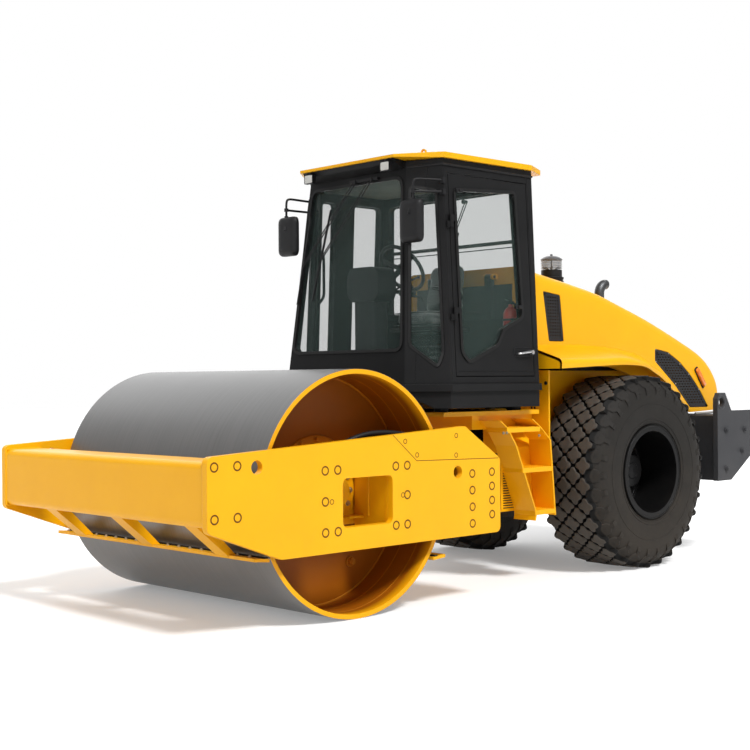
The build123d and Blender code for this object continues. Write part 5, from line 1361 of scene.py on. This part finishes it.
def hoodSolid(shrink, dropFront, dropLow):  # a closed body under the top line, moved in by shrink
    look, bm = hoodLook, bmesh.new()
    frontX, steps = look["frontX"] - dropFront, look["cornerSteps"]
    path = smoothLine(fromAxle(look["top"]), look["lineSteps"])
    alongs = [after - before for before, after in zip(path[:1] + path[:-1], path[1:] + path[-1:])]
    normals = [Vector((along.z, 0, -along.x)).normalized() for along in alongs]
    path = [p - n * shrink for p, n in zip(path, normals)]
    low = fromAxle(look["low"])
    if dropLow:
        low = [Vector((low[0].x + shrink, 0, look["insideLow"])), Vector((frontX, 0, look["insideLow"]))]
    for point in path + low[-1:]:
        point.x = min(point.x, frontX)
    half, radius = look["half"] - shrink, look["rounding"] - shrink * 0.6
    profiles = []
    for point, normal in zip(path, normals):
        ring = []
        for step in [*range(-steps, 0), -0.5, 0.5, *range(1, steps + 1)]:
            angle = int(abs(step)) / steps * pi / 2
            spot = point - normal * radius * (1 - cos(angle))
            across = (half - radius) + radius * sin(angle)
            ring.append(bm.verts.new((min(spot.x, frontX), copysign(across, step), spot.z)))
        profiles.append(ring)
    for first, second in zip(profiles, profiles[1:]):
        for index in range(len(first) - 1):
            bm.faces.new((first[index], first[index + 1], second[index + 1], second[index]))
    left, right = ([bm.verts.new((p.x, side * half, p.z)) for p in low] for side in (1, -1))
    bm.faces.new([ring[-1] for ring in profiles] + left)
    bm.faces.new([ring[0] for ring in profiles] + right)
    for index in range(len(low) - 1):
        bm.faces.new((left[index], left[index + 1], right[index + 1], right[index]))
    bm.faces.new([left[0], right[0]] + profiles[-1])
    bm.faces.new([left[-1], right[-1]] + profiles[0])
    return bm


def cutAway(piece, cutter):
    cut = piece.modifiers.new("cut", "BOOLEAN")
    cut.operation, cut.solver, cut.object = "DIFFERENCE", "EXACT", cutter
    keepResult(piece)
    bpy.data.objects.remove(cutter)


def buildHood():
    look, holes, lugs, mesh = hoodLook, bmesh.new(), bmesh.new(), bmesh.new()
    for key in ("front", "rear"):
        path = outlineRound(fromAxle(grilleLook[key]), 0.014, 3)
        for side in (1, -1):
            addRings(holes, [setAcross(path, side * y) for y in (0.56, 0.66)])
    shell = linkMesh("hoodShell", hoodSolid(0.0, 0.0, False))
    cutAway(shell, linkMesh("hoodInside", hoodSolid(look["wall"], 0.024, True)))
    cutAway(shell, linkMesh("grilleHoles", holes))
    if len(shell.data.polygons) < 100:
        raise RuntimeError("the hood's cut failed")
    shell.data.materials.clear()
    makePiece("hoodShell", shell, "yellowPaint", "engine_hood", ("hood",), edge=0.003, smooth=32)
    for y in look["lugs"]:
        addRod(lugs, (-0.287, y, 2.23), (-0.287, y + 0.02, 2.23), 0.022, sides=28)
        addBox(lugs, (-0.322, y, 2.212), (-0.287, y + 0.02, 2.248))
    makePiece("hoodLugs", lugs, "yellowPaint", "engine_hood")
    # the cooling mesh on the hood's front wall, behind the cab's rear window
    addBox(mesh, (-0.3205, -0.5, 1.7), (-0.3185, 0.5, 2.17))
    for index in range(14):
        addBox(mesh, (-0.319, -0.5, 1.705 + index * 0.0335), (-0.315, 0.5, 1.723 + index * 0.0335))
    for index in range(5):
        addBox(mesh, (-0.319, -0.5 + index * 0.2475, 1.7), (-0.314, -0.49 + index * 0.2475, 2.17))
    makePiece("hoodFrontMesh", mesh, "grilleBlack", "engine_hood", smooth=0)


def insidePolygon(x, z, outline, margin):
    inside, near = False, 9.0
    for (xa, za), (xb, zb) in zip(outline[-1:] + outline[:-1], outline):
        if (za > z) != (zb > z) and x < (xb - xa) * (z - za) / (zb - za) + xa:
            inside = not inside
        along = Vector((xb - xa, zb - za))
        share = max(0.0, min(1.0, Vector((x - xa, z - za)).dot(along) / along.length_squared))
        near = min(near, (Vector((xa, za)) + along * share - Vector((x, z))).length)
    return inside and near > margin


def sheetUnit(width, height, bar):  # one cell of perforated sheet: a rounded hole with its walls
    bm, look = bmesh.new(), grilleLook
    hole = [(a * (width / 2 - bar), b * (height / 2 - bar)) for a, b in look["hole"]]
    cell = [(a * width / 2, b * height / 2) for a, b in look["cell"]]
    addRings(bm, [[(x, y, depth) for x, y in ring] for ring, depth in ((cell, 0.0), (hole, 0.0), (hole, -0.004))],
             caps=False)
    units.append(linkMesh("holeUnit", bm))
    return units[-1]


def sheetPlaces(key):  # where the cells of one grille stand, every other row of the rear one shifted
    look = grilleLook
    flat = [(p.x, p.z) for p in fromAxle(look[key])]
    (width, height), places = look["cells"][key][:2], []
    (lowX, highX), (lowZ, highZ) = ((min(line), max(line)) for line in zip(*flat))
    z, row = lowZ + height * 0.9, 0
    while z < highZ:
        x = lowX + width * (0.5 + (0.0 if key == "front" else 0.5 * (row % 2)))
        while x < highX:
            if insidePolygon(x, z, flat, look["frameWidth"] * 0.95):
                places += [((x, side * look["sheetY"], z), (0, side, 0), 1.0) for side in (1, -1)]
            x += width
        z, row = z + height, row + 1
    return places


def buildGrilles():
    look, shadeBehindHoles, frames, screws = grilleLook, bmesh.new(), bmesh.new(), []
    for key in ("front", "rear"):
        path = fromAxle(look[key])
        for side in (1, -1):
            ring = setAcross(outlineRound(path, 0.016, 4), side * look["frameY"])
            turned = sum(a.x * b.z - b.x * a.z for a, b in zip(ring, ring[1:] + ring[:1]))
            if (turned < 0) != (side > 0):
                ring.reverse()
            addStrip(frames, ring, look["frameWidth"], 0.005, axisY * side, inset=-look["frameWidth"] - 0.004)
            middle = sum(ring, Vector()) / len(ring)
            for index, point in enumerate(path):
                inward = (middle - Vector((point.x, middle.y, point.z))).normalized() * 0.016
                if key == "rear" and index not in look["bare"]:
                    screws.append(((point.x + inward.x, side * 0.6185, point.z + inward.z), (0, side, 0), 0.013))
            addRings(shadeBehindHoles, [setAcross(path, side * y) for y in look["holeShadeY"]])
    makePiece("grilleFrames", frames, "grilleBlack", "engine_hood", smooth=30)
    for key, cell in look["cells"].items():
        piece = repeatOnPoints(key + "GrilleSheet", sheetUnit(*cell), sheetPlaces(key), "grilleBlack")
        makePiece(piece.name, piece, "grilleBlack", "engine_hood", stands=("hood_grilles",), smooth=0)
    boltPiece("grilleScrews", screws, "boltZinc", "engine_hood", screwUnit)
    # a black sheet stands just behind the holes: painted shade, with orange painted glints
    makePiece("grilleBaffles", shadeBehindHoles, "baffleDark", "engine_hood", stands=("hood_grilles",), smooth=0)


# mudguards with a rounded outer edge, drawn through their sections
guardLook = dict(sections=((950, 970, 1712, 1597, 1530), (500, 970, 1718, 1601, 1549), (160, 970, 1716, 1610, 1558),
        (-90, 950, 1700, 1574, 1545), (-290, 900, 1675, 1528, 1500), (-500, 850, 1632, 1470, 1435),
        (-850, 750, 1460, 1335, 1290), (-1150, 650, 1205, 1193, 1175)),
    wall=0.016, rounding=0.035, inner=0.612, leastEdge=0.64)


def guardSection(edge, topIn, topOut, lip):  # the closed outline of one section, in y and z
    look = guardLook
    wall, edge = look["wall"], max(edge, look["leastEdge"])
    corner = Vector((0, edge, topOut))
    start = Vector((0, look["inner"], max(topIn, topOut + 0.004)))
    foot = Vector((0, edge - 0.004, min(lip, topOut - 0.01)))
    reach = min(look["rounding"], (corner - foot).length * 0.7, (start - corner).length * 0.4)
    arc = cornerArc(start, corner, foot, 6, reach, reach)
    outline = [start, start + (arc[0] - start) * 0.5] + arc + [foot]
    inward = [p - Vector((0, wall * 0.9, wall)) for p in outline[:-3]]
    tail = [p - Vector((0, wall, wall * 0.3)) for p in outline[-3:-1]] + [foot - axisY * wall]
    return outline + list(reversed(inward + tail))


def buildGuards():
    columns = list(zip(*guardLook["sections"]))
    lines = [smoothLine([Vector((a, value, 0)) for a, value in zip(columns[0], column)], 7)
             for column in columns[1:]]
    for label, side in bothSides:
        bm, rings = bmesh.new(), []
        for spots in zip(*lines):
            x = axleX + spots[0].x / 1000
            rings.append([Vector((x, side * p.y, p.z)) for p in guardSection(*(spot.y / 1000 for spot in spots))])
        addRings(bm, rings)
        # the closed front face, from the hood out to the edge
        first, lip = rings[0], guardLook["sections"][0][4] / 1000
        face = first[:10] + [Vector((first[0].x, side * guardLook["inner"], lip))]
        addRings(bm, [[p - axisX * drop for p in face] for drop in (0.0, 0.018)])
        makePiece("mudguard" + label, bm, "yellowPaint", "engine_hood", ("mudguards",), edge=0.002)


# amber side lamps, intake bowl, exhaust and the strip under the hood's rear
rearLook = dict(lamp=((-2.56, 1.525), (-2.662, 1.395)), lampHalf=0.031, lampFace=0.6205,
    lampBase=((-0.004, 1.16), (0.006, 1.16), (0.008, 1.06)),
    lampLens=((0.006, 0.92), (0.016, 0.9), (0.024, 0.74), (0.027, 0.4)),
    intake=(-1.026, 0.3, 0.0), exhaust=(-1.641, 0.3, 0.0),
    base=((2.15, 0.02), (2.15, 0.088), (2.214, 0.088), (2.216, 0.096), (2.232, 0.096), (2.234, 0.09),
        (2.244, 0.09), (2.246, 0.096), (2.262, 0.096), (2.264, 0.083), (2.318, 0.083), (2.32, 0.02)),
    bowl=((2.32, 0.0745), (2.32, 0.0815), (2.4, 0.0835), (2.4, 0.0765)),
    cap=((2.398, 0.005), (2.398, 0.086), (2.404, 0.0865), (2.412, 0.078), (2.423, 0.06), (2.429, 0.042),
        (2.431, 0.012), (2.446, 0.009), (2.447, 0.002)),
    throat=((2.065, 0.04), (2.065, 0.05), (2.08, 0.052), (2.098, 0.05), (2.098, 0.04)))


def buildSideLamps():
    look, lens, base = rearLook, bmesh.new(), bmesh.new()
    start, end = (Vector((x, 0, z)) for x, z in look["lamp"])
    middle, half, line = (start + end) / 2, (end - start).length / 2, (end - start).normalized()
    across = Vector((line.z, 0, -line.x))
    for side in (1, -1):
        for bm, rows in ((base, look["lampBase"]), (lens, look["lampLens"])):
            rings = []
            for lift, shrink in rows:
                ring = [middle + line * a * (half + 0.014) * (0.55 + 0.45 * shrink)
                        + across * b * look["lampHalf"] * shrink * 0.72 for a, b in square]
                rings.append(setAcross(outlineRound(ring, 0.014), side * (look["lampFace"] + lift)))
            addRings(bm, rings)
    makePiece("sideLampLens", lens, "amberLens", "engine_hood", smooth=50)
    makePiece("sideLampBase", base, "softRubber", "engine_hood")


def buildHoodFittings():
    look = rearLook
    black, bowl, cap, throat, strip = (bmesh.new() for piece in range(5))
    place = Vector(look["intake"])
    for bm, key in ((black, "base"), (bowl, "bowl")):
        addLathe(bm, place, look[key], sides=56, axis="Z")
    for angle in turns(8):  # swirl vanes, and the rod that holds the cap
        out = Vector((cos(angle), sin(angle), 0))
        start = place + axisZ * 2.32 + out * 0.03
        addRod(black, start, start + out * 0.042 + axisZ * 0.022, 0.004, sides=6)
    addRod(black, place + axisZ * 2.31, place + axisZ * 2.402, 0.005, sides=12)
    for index in range(5):  # rings round the bowl
        addHoop(cap, place, 2.334 + index * 0.014, 0.084, 0.0014, 48, 0.0012, 6, "Z")
    addLathe(cap, place, look["cap"], sides=56, axis="Z")
    makePiece("intakeBase", black, "mouldedPlastic", "engine_hood", ("precleaner",))
    makePiece("intakeBowl", bowl, "intakeBowl", "engine_hood", stands=("precleaner",))
    makePiece("intakeCap", cap, "capGrey", "engine_hood", stands=("precleaner",))
    addLathe(throat, look["exhaust"], look["throat"], sides=40, axis="Z")
    makePiece("exhaustCollar", throat, "exhaustSteel", "engine_hood")
    for side in (1, -1):  # pale sealing strip below the hood's rear end
        addPipe(strip, [(-2.56, side * 0.608, 1.152), (-2.87, side * 0.608, 1.158)], 0.01, sides=10)
    makePiece("hoodSeal", strip, "sealGrey")


weightLook = dict(half=0.945, bolts=((-2.5, 0.7), (-2.5, 1.02), (-2.78, 1.02), (-2.74, 0.84)),
    eye=(-2.436, 0, 1.25), weld=(-2.43, -2.95))


def buildWeightDetails():
    look, bolts, seam = weightLook, [], bmesh.new()
    for side in (1, -1):
        bolts += [((x, side * look["half"], z), (0, side, 0), 0.05) for x, z in look["bolts"]]
        addHoop(seam, look["eye"], side * look["half"], 0.052, 0.002, 40, 0.008)
        addPipe(seam, [(x, side * 0.903, 1.142) for x in look["weld"]], 0.008, sides=8)
    boltPiece("weightBolts", bolts, "weightGrey")
    makePiece("weightWelds", seam, "weightGrey")


for build in (buildHood, buildGrilles, buildGuards, buildSideLamps, buildHoodFittings, buildWeightDetails):
    build()
print("hood and rear end made")

# camera, floor and light
view = dict(place=(7.3601, 7.1662, 1.4523), forward=(-0.68487, -0.72865, 0.00419), lens=64.95,
    right=(-0.72866, 0.68483, -0.00747))
studio = dict(floorColour=(0.8, 0.8, 0.8), floorLift=0.23, floorHalf=60.0, world=0.42, glossy=0.45,
    backSize=(20.0, 11.0), backPower=1100.0, backPlace=(-5.0, -9.5, 6.0),
    lights=(("keyLight", 3.0, (0.15, 1.0, 1.25), 12.0), ("fillLight", 0.5, (1.0, 0.2, 0.5), 40.0)))


def placeCamera():
    data = bpy.data.cameras.new("photoCamera")
    data.lens, data.sensor_width, data.clip_end = view["lens"], 36.0, 200.0
    camera = linkObject("photoCamera", data)
    back, right = -Vector(view["forward"]).normalized(), Vector(view["right"]).normalized()
    turn = Matrix((right, back.cross(right), back)).transposed().to_4x4()
    camera.matrix_world = Matrix.Translation(view["place"]) @ turn
    bpy.context.scene.camera = camera


def addLight(name, kind, power, towards):
    data = bpy.data.lights.new(name, kind)
    data.energy = power
    lamp = linkObject(name, data)
    lamp.rotation_mode = "QUATERNION"
    lamp.rotation_quaternion = Vector(towards).to_track_quat("Z", "Y")
    return lamp


def buildStudio():
    mesh, size = bpy.data.meshes.new("floor"), studio["floorHalf"]
    mesh.from_pydata([(a * size, b * size, 0) for a, b in square], [], [(0, 1, 2, 3)])
    material, tree, shader = startMaterial("floorWhite", studio["floorColour"], 0.9)
    rays = tree.nodes.new("ShaderNodeLightPath").outputs
    seen = mathNode(tree, "MAXIMUM", rays["Is Camera Ray"], rays["Is Glossy Ray"])
    seen = mathNode(tree, "MAXIMUM", seen, rays["Is Transmission Ray"])
    feed(tree, shader, {"Emission Color": (1, 1, 1, 1),
                        "Emission Strength": mathNode(tree, "MULTIPLY", seen, studio["floorLift"])})
    mesh.materials.append(material)
    linkObject("floor", mesh)
    world = bpy.data.worlds.new("studio")
    world.use_nodes = True
    sky = world.node_tree
    rays = sky.nodes.new("ShaderNodeLightPath").outputs
    seen = mathNode(sky, "MAXIMUM", rays["Is Camera Ray"], rays["Is Transmission Ray"])
    seen = mathNode(sky, "MAXIMUM", seen, mathNode(sky, "MULTIPLY", rays["Is Glossy Ray"], studio["glossy"]))
    feed(sky, sky.nodes["Background"], {"Color": (1, 1, 1, 1),
                                        "Strength": mathNode(sky, "MAXIMUM", seen, studio["world"])})
    bpy.context.scene.world = world
    for name, power, origin, angle in studio["lights"]:
        addLight(name, "SUN", power, origin).data.angle = radians(angle)
    # a long soft box behind, for the bands along the upper edges
    lamp = addLight("backLight", "AREA", studio["backPower"], studio["backPlace"])
    lamp.location = studio["backPlace"]
    lamp.data.shape = "RECTANGLE"
    lamp.data.size, lamp.data.size_y = studio["backSize"]
    lamp.visible_camera = lamp.visible_transmission = False
    bpy.context.scene.view_settings.view_transform = "Standard"


placeCamera()
buildStudio()
print("camera, floor and light placed")

for unit in units:  # the shapes that were only repeated
    bpy.data.objects.remove(unit)
